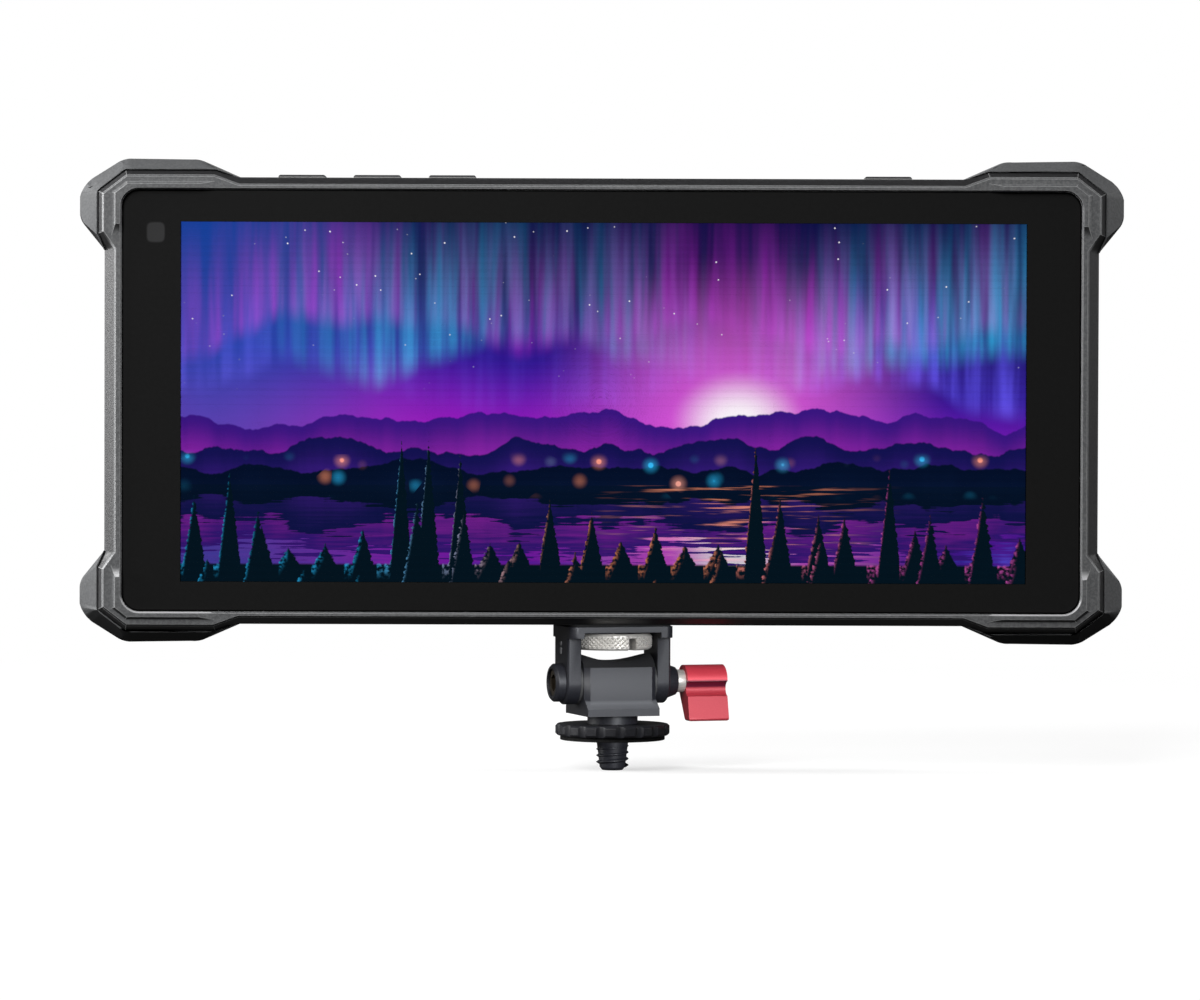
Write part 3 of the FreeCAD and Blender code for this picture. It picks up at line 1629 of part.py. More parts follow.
def hinge_bolt():
    head_end = cap_end + S.cap_bevel
    head = along_hinge(head_end, S.bolt_head, S.bolt_head_thick)
    shank = along_hinge(head_end, S.bolt_radius, bolt_end - head_end)
    socket = hexagon_rod(
        "x",
        head_end - S.overrun,
        0,
        hinge_height,
        S.bolt_socket,
        S.bolt_socket_depth + S.overrun,
    )
    return mount_piece(cut(fuse(head, shank), socket), "hinge_bolt")


def hinge_cap():
    body = new_body()
    cap = Drawing(body, "side", cap_end)
    cap.circle(0, hinge_height, S.cap_radius).pad(S.cap_thick)
    bevel_edges(body, S.cap_bevel, lies_at("X", cap_end))
    bore = Drawing(body, "side", cap_end - S.overrun)
    bore.circle(0, hinge_height, bolt_hole).pocket(S.cap_thick + S.overrun * 2)
    recess = Drawing(body, "side", cap_end - S.overrun)
    recess.circle(0, hinge_height, S.bolt_head + S.bolt_head_gap)
    recess.pocket(S.cap_bevel + S.bolt_head_thick + S.overrun)
    return mount_piece(body, "hinge_cap")


def thrust_washer():
    taper = cone(
        "x", thrust_start, 0, hinge_height, S.thrust_radius, S.thrust_end_radius, S.thrust_long
    )
    bore = along_hinge(thrust_start - S.overrun, bolt_hole, S.thrust_long + S.overrun * 2)
    return mount_piece(cut(taper, bore), "thrust_washer")


def lever_collar():
    ring = along_hinge(collar_start, collar_radius, S.collar_long)
    bore = along_hinge(collar_start - S.overrun, bolt_hole, S.collar_long + S.overrun * 2)
    return mount_piece(cut(ring, bore), "lever_collar")


def tension_lever():
    body = new_body()
    hinge = hinge_height
    Drawing(body, "side", lever_start).circle(0, hinge, S.lever_hub).pad(S.lever_wide)
    arm = [
        (S.lever_root_back, hinge - S.lever_root_drop),
        (-S.lever_tip_back, hinge - S.lever_drop),
        (-S.lever_front, hinge - S.lever_drop),
        (-S.lever_shoulder, hinge - S.lever_shoulder_drop),
        (0, hinge - S.lever_root_drop),
    ]
    Drawing(body, "side", lever_start).polygon(arm).pad(S.lever_wide)
    round_edges(body, S.lever_round, lies_at("Z", hinge - S.lever_drop))
    hollow = Drawing(body, "side", lever_start - S.overrun)
    hollow.circle(-S.lever_scoop - S.lever_web, hinge - S.lever_scoop_drop, S.lever_scoop)
    hollow.pocket(S.lever_wide + S.overrun * 2)
    bore = Drawing(body, "side", lever_start - S.overrun)
    bore.circle(0, hinge, bolt_hole)
    bore.pocket(S.lever_wide - S.lever_bore_wall + S.overrun)
    return mount_piece(body, "tension_lever")


# Camera stud
def base_stud():
    body = new_body()
    stud = Drawing(body, "top", -S.stud_long)
    stud.circle(0, 0, S.stud_radius).pad(S.stud_long)
    bevel_edges(body, S.stud_bevel, lies_at("Z", -S.stud_long))
    shank = Drawing(body, "top", 0)
    shank.circle(0, 0, S.stud_shank).pad(neck_foot)
    neck = Drawing(body, "top", neck_foot)
    neck.circle(0, 0, S.neck_radius).pad(S.neck_tall)
    spigot = Drawing(body, "top", block_foot)
    spigot.circle(0, 0, S.spigot_radius).pad(spigot_top - block_foot)
    return mount_piece(body, "base_stud")


def lock_ring():
    body = new_body()
    disc = Drawing(body, "top", S.ring_foot)
    disc.circle(0, 0, S.ring_radius).pad(S.ring_top - S.ring_foot)
    bevel_edges(body, S.ring_bevel, either(lies_at("Z", S.ring_top), lies_at("Z", S.ring_foot)))
    bore = Drawing(body, "top", S.ring_foot - S.overrun)
    bore.circle(0, 0, S.stud_shank + S.ring_bore_gap)
    bore.pocket(S.ring_top - S.ring_foot + S.overrun * 2)
    dent = Drawing(body, "top", S.ring_foot - S.overrun)
    dent.circle(S.ring_radius + S.ring_dent_out, 0, S.ring_dent_radius)
    first = dent.pocket(S.ring_top - S.ring_foot + S.overrun * 2)
    dents = body.newObject("PartDesign::PolarPattern", "dents")
    dents.Originals = [first]
    dents.Axis = (dent.sketch, ["N_Axis"])
    dents.Angle = FULL_TURN
    dents.Occurrences = LOBE_COUNT
    body.Tip = dents
    return mount_piece(body, "lock_ring")


def ring_pad():
    disc = rod("z", 0, 0, 0, S.ring_radius - S.ring_pad_inset, S.ring_foot)
    hole = rod("z", 0, 0, -S.overrun, S.ring_pad_hole, S.ring_foot + S.overrun * 2)
    return mount_piece(cut(disc, hole), "ring_pad")


# Build every piece
front_frame()
corner_guard("corner_guard_top_left", -1, 1)
corner_guard("corner_guard_top_right", 1, 1)
corner_guard("corner_guard_bottom_left", -1, -1)
corner_guard("corner_guard_bottom_right", 1, -1)
cover_glass()
glass_gasket()
light_sensor()
lcd_panel()
backlight_unit()
panel_tray()
panel_ribbon()
rear_shell()
case_screws()
mount_insert()
main_board()
board_posts()
board_screws()
board_chips()
thermal_pad()
heat_sink()
video_socket("video_input", video_input_up)
video_socket("video_output", video_output_up)
data_port()
power_jack()
headphone_jack()
for label, across in zip(("menu_button", "left_button", "right_button", "power_button"), button_places):
    top_button(label, across)
button_board()
tact_switches()
battery_plate()
battery_latch()
latch_spring()
battery_contacts()
plate_screws()
tilt_bracket()
bracket_pad()
thumb_screw()
screw_clip()
hinge_block()
friction_washer("friction_washer_left", -1)
friction_washer("friction_washer_right", 1)
hinge_bolt()
hinge_cap()
thrust_washer()
lever_collar()
tension_lever()
base_stud()
lock_ring()
ring_pad()
doc.recompute()

# Check every object, then write one file a piece
for each in doc.Objects:
    if "Invalid" in each.State or "Error" in each.State:
        raise SystemExit(f"{each.Label} did not build: {each.State}")
os.makedirs("parts", exist_ok=True)
for piece in pieces:
    if piece.Shape.isNull() or not piece.Shape.isValid():
        raise SystemExit(f"{piece.Label} has no valid shape")
    piece.Shape.exportStep(f"parts/{piece.Label}.step")
    print(f"{piece.Label}: {len(piece.Shape.Solids)} solid, {piece.Shape.Volume:.1f} mm3")
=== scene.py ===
# %% [markdown]
# # A camera field monitor on its tilt mount
#
# The solids of the monitor come from a CAD model, and they are already in the right place and the right
# size. This lesson dresses them: edges get their small rounds, the thumb screw gets its knurl and the stud
# its thread, and every surface gets a finish made of nodes. Sizes are in millimetres and go into Blender
# times `MM`.

# %% Load the frame
import json
import math

import bmesh
import bpy
from mathutils import Matrix, Vector


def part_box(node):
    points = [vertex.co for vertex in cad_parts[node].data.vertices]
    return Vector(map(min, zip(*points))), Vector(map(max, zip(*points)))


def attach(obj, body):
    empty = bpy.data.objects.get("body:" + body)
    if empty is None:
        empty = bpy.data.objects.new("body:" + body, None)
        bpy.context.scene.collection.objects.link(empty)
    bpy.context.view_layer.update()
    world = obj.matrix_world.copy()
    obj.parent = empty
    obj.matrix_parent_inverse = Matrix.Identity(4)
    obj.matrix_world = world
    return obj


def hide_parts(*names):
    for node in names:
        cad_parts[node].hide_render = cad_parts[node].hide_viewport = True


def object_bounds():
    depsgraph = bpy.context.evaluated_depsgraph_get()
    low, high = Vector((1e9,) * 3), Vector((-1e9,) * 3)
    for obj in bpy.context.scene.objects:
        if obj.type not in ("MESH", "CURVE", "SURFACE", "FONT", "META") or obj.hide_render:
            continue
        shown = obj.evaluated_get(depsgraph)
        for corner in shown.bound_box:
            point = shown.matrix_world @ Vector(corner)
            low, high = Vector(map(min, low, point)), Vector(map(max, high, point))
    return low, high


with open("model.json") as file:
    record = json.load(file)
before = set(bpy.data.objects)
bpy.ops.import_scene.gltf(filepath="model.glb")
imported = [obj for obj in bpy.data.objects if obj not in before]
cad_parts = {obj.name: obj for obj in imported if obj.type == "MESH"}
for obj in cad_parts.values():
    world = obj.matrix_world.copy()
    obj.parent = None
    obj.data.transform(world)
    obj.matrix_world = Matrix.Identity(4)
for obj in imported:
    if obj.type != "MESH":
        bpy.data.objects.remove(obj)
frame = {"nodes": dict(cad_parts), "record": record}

MM = 0.001
scene = bpy.context.scene
cad_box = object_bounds()

# %% [markdown]
# ## Shader maths as plain expressions
#
# A finish needs a lot of small sums. Each could be wired by hand, but that hides what it says. `Wire` wraps
# an output socket and overloads the operators, so `1 - mask * 0.4` adds the Math nodes by itself.


# %% The wire
class Wire:
    """An output socket that can be used in sums."""

    def __init__(self, finish, socket):
        self.finish = finish
        self.socket = socket

    def __add__(self, other):
        return self.finish.maths("ADD", self, other)

    def __sub__(self, other):
        return self.finish.maths("SUBTRACT", self, other)

    def __rsub__(self, other):
        return self.finish.maths("SUBTRACT", other, self)

    def __mul__(self, other):
        return self.finish.maths("MULTIPLY", self, other)

    def __truediv__(self, other):
        return self.finish.maths("DIVIDE", self, other)

    def __rtruediv__(self, other):
        return self.finish.maths("DIVIDE", other, self)

    def __pow__(self, other):
        return self.finish.maths("POWER", self, other)

    def __rpow__(self, other):
        return self.finish.maths("POWER", other, self)

    def __abs__(self):
        return self.finish.maths("ABSOLUTE", self)

    def higher(self, other):
        return self.finish.maths("MAXIMUM", self, other)

    __radd__ = __add__
    __rmul__ = __mul__


print("Wires can be added, multiplied and raised to a power")

# %% [markdown]
# `Finish` owns one material. Its method `add` makes any node: settings first, then values or wires for its
# sockets. The other methods are short names for the nodes that come up again and again.


# %% The finish
class Finish:
    """One material, built node by node."""

    output_kind = "ShaderNodeOutputMaterial"

    def __init__(self, name):
        self.start(bpy.data.materials.new(name))

    def start(self, holder):
        self.holder = holder
        holder.use_nodes = True
        self.tree = holder.node_tree
        self.tree.nodes.clear()

    def add(self, kind, settings=None, sockets=None, output=0):
        node = self.tree.nodes.new(kind)
        for setting, value in (settings or {}).items():
            setattr(node, setting, value)
        for key, value in (sockets or {}).items():
            if isinstance(value, Wire):
                self.tree.links.new(value.socket, node.inputs[key])
            elif node.inputs[key].type == "RGBA":
                node.inputs[key].default_value = (*value, 1.0)
            else:
                node.inputs[key].default_value = value
        return Wire(self, node.outputs[output])

    def maths(self, operation, *values):
        return self.add("ShaderNodeMath", {"operation": operation}, dict(enumerate(values)))

    def place(self):
        return self.add("ShaderNodeTexCoord", output="Object")

    def part(self, vector, axis):
        return self.add("ShaderNodeSeparateXYZ", sockets={0: vector}, output="XYZ".index(axis))

    def vector(self, across, back, up):
        return self.add("ShaderNodeCombineXYZ", sockets={0: across, 1: back, 2: up})

    def stretched(self, vector, amounts):
        return self.add("ShaderNodeMapping", sockets={"Vector": vector, "Scale": amounts})

    def noise(self, vector, scale, detail=2.0, roughness=0.5):
        sockets = {"Vector": vector, "Scale": scale, "Detail": detail, "Roughness": roughness}
        return self.add("ShaderNodeTexNoise", sockets=sockets)

    def step(self, value, low, high):
        """0 at low and 1 at high, with a smooth change between them; low may be the larger of the two."""
        sockets = {"Value": value, "From Min": low, "From Max": high}
        return self.add("ShaderNodeMapRange", {"interpolation_type": "SMOOTHSTEP"}, sockets)

    def spread(self, value, low, high):
        """A value from 0 to 1, laid out between two others."""
        return self.add("ShaderNodeMapRange", sockets={"Value": value, "To Min": low, "To Max": high})

    def mix(self, factor, first, second, blend="MIX"):
        settings = {"data_type": "RGBA", "blend_type": blend}
        return self.add("ShaderNodeMix", settings, {0: factor, 6: first, 7: second}, output=2)

    def facing(self, start, full):
        """How much a face looks up or down: 0 where its normal's height is at start, 1 where it's at full."""
        normal = self.add("ShaderNodeTexCoord", output="Normal")
        return self.step(self.part(normal, "Z"), start, full)

    def relief(self, height, depth):
        """A bump whose height of 0 to 1 stands for a real depth."""
        return self.add("ShaderNodeBump", sockets={"Height": height, "Strength": 1.0, "Distance": depth})

    def show(self, surface):
        """Link the last shader to the output, and give back what owns the nodes."""
        node = self.tree.nodes.new(self.output_kind)
        self.tree.links.new(surface.socket, node.inputs["Surface"])
        return self.holder

    def close(self, sockets):
        return self.show(self.add("ShaderNodeBsdfPrincipled", sockets=sockets))


print("Shader helpers are ready")

# %% [markdown]
# ## Moulded and painted finishes
#
# The case, the guards and the pads are moulded or painted. Up close none of them is one flat colour: the
# tool leaves a fine grain, and thin paint or rubber varies a little over a few millimetres. A photograph of
# each surface could be wrapped round it, but a noise needs no file and has the right size on every piece.
# One function covers them all: a colour, the size of the grain, how strong it is, and the gloss. On the
# rubber guards the faces that look down get a painted shade: `below` is the share of colour kept there.

# %% Moulded finish
BLACK = (0.0, 0.0, 0.0)
speck_range = (0.36, 0.66)
speck_share, broad_share = 0.7, 0.3
broad_ratio = 14
shaded_underside_angles = (-0.12, -0.55)


def changed(colour, share):
    """A colour made lighter by a share of itself, or darker if the share is negative."""
    return tuple(min(1.0, part * (1 + share)) for part in colour)


def moulded(name, colour, grain, contrast, gloss, depth, specular=0.3, below=1.0):
    """Grain and depth are in millimetres; gloss is the lowest and highest roughness."""
    finish = Finish(name)
    place = finish.place()
    fine = finish.noise(place, 1 / (grain * MM), detail=3.0, roughness=0.6)
    broad = finish.noise(place, 1 / (broad_ratio * grain * MM))
    mottle = finish.step(fine, *speck_range) * speck_share + broad * broad_share
    shade = finish.mix(mottle, changed(colour, -contrast), changed(colour, contrast))
    # Faces that look down get a painted shade; below is the share of colour they keep.
    if below < 1:
        shade = finish.mix(finish.facing(*shaded_underside_angles) * (1 - below), shade, BLACK)
    return finish.close(
        {
            "Base Color": shade,
            "Roughness": finish.spread(broad * 0.5 + fine * 0.5, *gloss),
            "Specular IOR Level": specular,
            "Normal": finish.relief(fine, depth * MM),
        }
    )


# Slot: material, colour, grain, contrast, gloss, depth, then specular and below where they differ
moulded_rows = {
    "shell_plastic": ("shell_plastic", (0.026, 0.026, 0.028), 0.6, 0.35, (0.42, 0.6), 0.05, 0.5),
    # The guards' last number, below, keeps 0.12 of their colour under the painted shade on their undersides.
    "guard_rubber": ("guard_rubber", (0.1, 0.102, 0.105), 0.5, 0.16, (0.5, 0.66), 0.03, 0.2, 0.12),
    "foam": ("foam_tape", (0.02, 0.02, 0.02), 0.4, 0.4, (0.85, 0.95), 0.1, 0.1),
    "sensor": ("smoked_lens", (0.04, 0.04, 0.042), 2.0, 0.2, (0.15, 0.25), 0.002, 0.5),
    "chips": ("chip_epoxy", (0.02, 0.02, 0.021), 0.25, 0.3, (0.5, 0.65), 0.02),
    "pale_gum": ("heat_gum", (0.42, 0.46, 0.5), 0.7, 0.12, (0.6, 0.75), 0.03),
    "ribbon": ("ribbon_film", (0.42, 0.19, 0.035), 0.9, 0.15, (0.3, 0.4), 0.01),
    "backlight": ("diffuser", (0.78, 0.78, 0.76), 0.8, 0.05, (0.6, 0.7), 0.01),
    "jack_plastic": ("jack_nylon", (0.018, 0.018, 0.019), 0.4, 0.3, (0.4, 0.55), 0.02),
    "latch_plastic": ("latch_plastic", (0.045, 0.046, 0.048), 0.45, 0.25, (0.45, 0.6), 0.03),
    "pad_rubber": ("pad_rubber", (0.012, 0.012, 0.012), 0.5, 0.3, (0.7, 0.85), 0.04, 0.15),
    "washer_nylon": ("washer_nylon", (0.05, 0.05, 0.05), 0.6, 0.12, (0.45, 0.6), 0.01),
    "anodised_black": ("black_anodised", (0.014, 0.0145, 0.019), 0.3, 0.3, (0.4, 0.52), 0.01, 0.5),
}
finishes = {slot: moulded(*row) for slot, row in moulded_rows.items()}
print("Moulded finishes:", ", ".join(finishes))

# %% [markdown]
# ## Buttons
#
# Each button is dark at its top, and below that a pale band is painted on, a painted reflection. The CAD has
# one solid, so a mask by height divides the colours.

# %% Button finish
dark_top_tall, dark_top_blur = 0.42, 0.06
button_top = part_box("menu_button")[1].z / MM


def button_plastic():
    finish = Finish("button_plastic")
    place = finish.place()
    fine = finish.noise(place, 2.8 / MM, detail=3.0)
    below = button_top - finish.part(place, "Z") / MM
    # A pale band painted below the dark top stands in for a reflection.
    painted_reflection_band = finish.step(below, dark_top_tall - dark_top_blur, dark_top_tall + dark_top_blur)
    dark = finish.mix(fine, (0.022, 0.022, 0.024), (0.04, 0.04, 0.043))
    pale = finish.mix(fine, (0.26, 0.26, 0.255), (0.4, 0.4, 0.39))
    return finish.close(
        {
            "Base Color": finish.mix(painted_reflection_band, dark, pale),
            "Roughness": finish.spread(fine, 0.42, 0.56),
            "Normal": finish.relief(fine, 0.02 * MM),
        }
    )


finishes["button_plastic"] = button_plastic()
print("Button cap is", dark_top_tall, "mm tall")

# %% [markdown]
# ## Front frame
#
# The frame is moulded in black and only its face is sprayed grey, so its slanting flank stays dark. Two
# materials with a seam between them would do it. Here one material asks how far back a spot lies, and the
# seam comes out a little ragged, as sprayed paint is. Under both lies the same coarse speckle, a paint with
# a little metal flake. The ridges of the two lower corners get a painted highlight where they look up, and
# faces that look down get a painted shade. The edges get a finish of their own: a paler colour painted on
# their rounds, which stands in for fine highlight lines.

# %% Frame finish
frame_face, frame_middle = -13.0, 66.3
paint_edge, paint_blur, paint_ragged = 0.3, 0.15, 0.1
ridge_depth = 0.08
painted_underside_shade = 0.85


def ramp_zone(finish, place, depth):
    """The raised ridges of the two lower corners, whose faces that look up get a painted highlight."""
    lower = 1 - finish.step(finish.part(place, "Z") / MM, frame_middle - 1, frame_middle)
    return lower * (1 - finish.step(depth, -ridge_depth, 0.0))


def frame_paint():
    finish = Finish("frame_paint")
    place = finish.place()
    fine = finish.noise(place, 2.2 / MM, detail=3.0, roughness=0.6)
    broad = finish.noise(place, 0.12 / MM)
    speck = finish.step(fine, *speck_range)
    mottle = speck * speck_share + broad * broad_share
    depth = finish.part(place, "Y") / MM - frame_face
    sprayed = 1 - finish.step(depth + (fine - 0.5) * paint_ragged, paint_edge, paint_edge + paint_blur)
    grey = finish.mix(mottle, (0.085, 0.087, 0.09), (0.16, 0.163, 0.167))
    bare = finish.mix(speck, (0.015, 0.015, 0.016), (0.028, 0.028, 0.03))
    # Painted highlight on the lower corners' ridges where they look up.
    painted_upward_light = finish.facing(0.06, 0.3) * ramp_zone(finish, place, depth)
    grey = finish.mix(painted_upward_light, grey, (0.5, 0.5, 0.51))
    # Painted shade on the faces that look down.
    underside = finish.facing(-0.05, -0.28)
    return finish.close(
        {
            "Base Color": finish.mix(underside * painted_underside_shade, finish.mix(sprayed, bare, grey), BLACK),
            "Roughness": finish.spread(fine * 0.6 + broad * 0.4, 0.36, 0.56),
            "Metallic": 0.1,
            "Specular IOR Level": 0.5,
            "Normal": finish.relief(fine, 0.035 * MM),
        }
    )


finishes["frame_paint"] = frame_paint()
# A paler colour for the frame's rounded edges, a painted highlight along them.
edge_highlight_paint = moulded("edge_highlight_paint", (0.27, 0.272, 0.275), 0.4, 0.2, (0.34, 0.5), 0.02, 0.5)
print("Frame is sprayed to", paint_edge, "mm behind its face")

# %% [markdown]
# ## Bare metal
#
# Turned and drawn metal keeps the lines of the tool. An anisotropic shader could stand for them with a
# stretched highlight, but up close the lines themselves show. A noise that is squeezed along one axis and
# stretched along the others gives rings round a turned piece and streaks along a sheet.


# %% Metal finish
def metal(name, colour, squeeze, contrast, gloss, depth, metallic=1.0):
    """Squeeze gives the lines per millimetre along x, y and z; blasted metal is less metallic than turned."""
    finish = Finish(name)
    place = finish.place()
    lines = finish.noise(finish.stretched(place, tuple(part / MM for part in squeeze)), 1.0, detail=3.0)
    smears = finish.noise(place, 0.25 / MM)
    return finish.close(
        {
            "Base Color": finish.mix(finish.step(lines, 0.3, 0.7), changed(colour, -contrast), colour),
            "Metallic": metallic,
            "Roughness": finish.spread(lines * 0.6 + smears * 0.4, *gloss),
            "Normal": finish.relief(lines, depth * MM),
        }
    )


# Slot: material, colour, squeeze, contrast, gloss, depth, and metallic where it isn't 1
metal_rows = {
    "sheet_steel": ("plated_sheet", (0.5, 0.5, 0.5), (0.2, 0.2, 3.0), 0.25, (0.25, 0.4), 0.004),
    "heat_sink": ("drawn_aluminium", (0.6, 0.6, 0.62), (3.0, 3.0, 0.1), 0.25, (0.3, 0.45), 0.006),
    "screw_steel": ("black_oxide", (0.11, 0.11, 0.115), (1.5, 1.5, 1.5), 0.4, (0.35, 0.5), 0.006),
    "brass": ("turned_brass", (0.62, 0.44, 0.16), (0.4, 4.0, 0.4), 0.3, (0.25, 0.4), 0.005),
    "spring_steel": ("spring_steel", (0.46, 0.46, 0.47), (0.4, 0.4, 4.0), 0.3, (0.22, 0.35), 0.003),
    "silver_steel": ("satin_nickel", (0.66, 0.63, 0.58), (0.4, 0.4, 4.0), 0.2, (0.3, 0.44), 0.004, 0.45),
}
finishes.update({slot: metal(*row) for slot, row in metal_rows.items()})
print("Metal finishes:", ", ".join(metal_rows))

# %% [markdown]
# ## Red anodised lever
#
# Anodising dyes the metal under a clear hard layer, so the red is deep and still has a sheen. A full metal
# shader shows mostly what it mirrors, and here that is a dim room. A slightly metallic surface under a thin
# coat comes closer, with a very fine blasted grain. The wing below the groove is a third darker than the
# hub, and a level band along the groove between them gets a painted shade.

# %% Red finish
groove_level, groove_half = 10.8, 0.95
wing_shade, groove_painted_shade = 0.33, 0.95


def red_anodised():
    finish = Finish("red_anodised")
    place = finish.place()
    grain = finish.noise(place, 5 / MM)
    up = finish.part(place, "Z") / MM
    wing = finish.step(up, groove_level, groove_level - groove_half)
    # Painted shade in a level band along the groove between hub and wing.
    groove = finish.step(abs(up - groove_level), groove_half, groove_half / 2)
    shade = finish.mix(grain, (0.58, 0.03, 0.052), (0.7, 0.066, 0.092))
    shade = finish.mix(wing * wing_shade, shade, BLACK)
    return finish.close(
        {
            "Base Color": finish.mix(groove * groove_painted_shade, shade, (0.1, 0.002, 0.022)),
            "Metallic": 0.2,
            "Roughness": finish.spread(grain, 0.38, 0.5),
            "Coat Weight": 0.1,
            "Coat Roughness": 0.2,
            "Normal": finish.relief(grain, 0.008 * MM),
        }
    )


finishes["red_anodised"] = red_anodised()
print("Lever's groove is at", groove_level, "mm")

# %% [markdown]
# ## Hinge block
#
# The block is black like the rest of the mount, but the hollow under the thumb screw gets a painted shade
# and a duller gloss, and the step along its foot gets a painted highlight where it looks up. Painted masks
# could mark both places. Height and the way a face looks tell them apart just as well, and need no hand
# work.

# %% Hinge block finish
hollow_level, step_level, level_blur = 13.5, 7.6, 0.5
hollow_roughness = 0.95


def block_anodised():
    finish = Finish("block_anodised")
    place = finish.place()
    fine = finish.noise(place, 3.3 / MM, detail=3.0, roughness=0.6)
    up = finish.part(place, "Z") / MM
    upward = finish.facing(0.08, 0.4)
    # Painted shade and a duller gloss in the hollow; painted highlight on the step at the foot where it looks
    # up.
    hollow = finish.step(up, hollow_level - level_blur, hollow_level) * upward
    painted_upward_light = finish.step(up, step_level + level_blur, step_level) * upward
    shade = finish.mix(fine, (0.0098, 0.0102, 0.0133), (0.0182, 0.0189, 0.0247))
    shade = finish.mix(hollow, shade, (0.002, 0.002, 0.003))
    return finish.close(
        {
            "Base Color": finish.mix(painted_upward_light, shade, (0.085, 0.087, 0.094)),
            "Roughness": finish.spread(fine, 0.4, 0.52).higher(hollow * hollow_roughness),
            "Normal": finish.relief(fine, 0.01 * MM),
        }
    )


own_finish = {"hinge_block": block_anodised()}
print("Hollow from", hollow_level, "mm up, step up to", step_level, "mm")

# %% [markdown]
# ## Circuit boards
#
# Solder mask is a thin green lacquer over copper, and the tracks under it show as lighter lines. Real
# tracks could be drawn one by one, but the boards lie inside the case. Two stripe patterns that only appear
# in patches, chosen by a coarse noise, read as groups of tracks.

# %% Board finish
track_pitch = 0.6


def solder_mask():
    finish = Finish("solder_mask")
    place = finish.place()
    patch = finish.step(finish.noise(place, 0.12 / MM), 0.48, 0.52)
    pitch = track_pitch * MM
    along, upward = (finish.maths("PINGPONG", finish.part(place, axis), pitch) / pitch for axis in "XZ")
    tracks = finish.step(along * patch + upward * (1 - patch), 0.45, 0.6)
    return finish.close(
        {
            "Base Color": finish.mix(tracks, (0.008, 0.06, 0.025), (0.02, 0.13, 0.055)),
            "Roughness": finish.spread(tracks, 0.28, 0.4),
            "Normal": finish.relief(tracks, 0.03 * MM),
        }
    )


finishes["circuit_board"] = solder_mask()
print("Tracks are", track_pitch * 2, "mm apart")

# %% [markdown]
# ## Cover glass
#
# The real glass is one clear sheet with a black border printed behind it and a dull coating against
# reflections. A clear pane over a black ring would be two pieces with a gap to get right. Here one material
# does both: its alpha is one on the border and almost nothing over the picture. The window in front of the
# light sensor, a square with very round corners, is printed thinner and looks a little paler.

# %% Glass finish
picture_middle = Vector((-2.0, 66.1))
picture_size = Vector((164.0, 69.8))
border_blur = 0.05
clear_alpha = 0.03
sensor_middle = Vector((-88.8, 98.9))
sensor_half = Vector((1.75, 1.95))
corner_power = 4


def sensor_window(finish, across, up):
    """1 inside the square with round corners, falling to 0 just outside it."""
    sideways = abs(across - sensor_middle.x) / sensor_half.x
    upwards = abs(up - sensor_middle.y) / sensor_half.y
    reach = (sideways ** corner_power + upwards ** corner_power) ** (1 / corner_power)
    return 1 - finish.step(reach, 0.86, 1.1)


def cover_glass():
    finish = Finish("cover_glass")
    place = finish.place()
    across, up = finish.part(place, "X") / MM, finish.part(place, "Z") / MM
    beside = abs(across - picture_middle.x) - picture_size.x / 2
    above = abs(up - picture_middle.y) - picture_size.y / 2
    border = finish.step(beside.higher(above), -border_blur, border_blur)
    print_grain = finish.noise(place, 1.2 / MM)
    black = finish.mix(print_grain, (0.0108, 0.0108, 0.0108), (0.013, 0.013, 0.013))
    return finish.close(
        {
            "Base Color": finish.mix(sensor_window(finish, across, up), black, (0.042, 0.042, 0.043)),
            "Roughness": finish.spread(print_grain, 0.3, 0.36),
            "Specular IOR Level": 0.06,
            "Alpha": finish.spread(border, clear_alpha, 1.0),
        }
    )


finishes["cover_glass"] = cover_glass()
print("Picture is", round(picture_size.x, 1), "by", round(picture_size.y, 1), "mm")

# %% [markdown]
# ## The picture on the screen
#
# A lit screen needs something to show. This is a made-up night landscape: northern lights over ridges, a
# low glow behind them, pines in front and a lake below. An image file would be the usual way, but nodes
# stay sharp at any size. Each layer is a mask times a colour, laid over the one before, exactly as in a
# painting programme. Places in the picture run from 0 to 1, across and up. First comes the sky.

# %% Sky
NIGHT = (0.002, 0.004, 0.055)
DUSK = (0.01, 0.07, 0.42)
VIOLET = (0.045, 0.01, 0.42)
MAGENTA = (0.42, 0.012, 0.55)
ROSE = (0.85, 0.12, 0.6)
WHITE = (1.0, 0.96, 1.0)
glow_across, glow_up = 0.66, 0.44


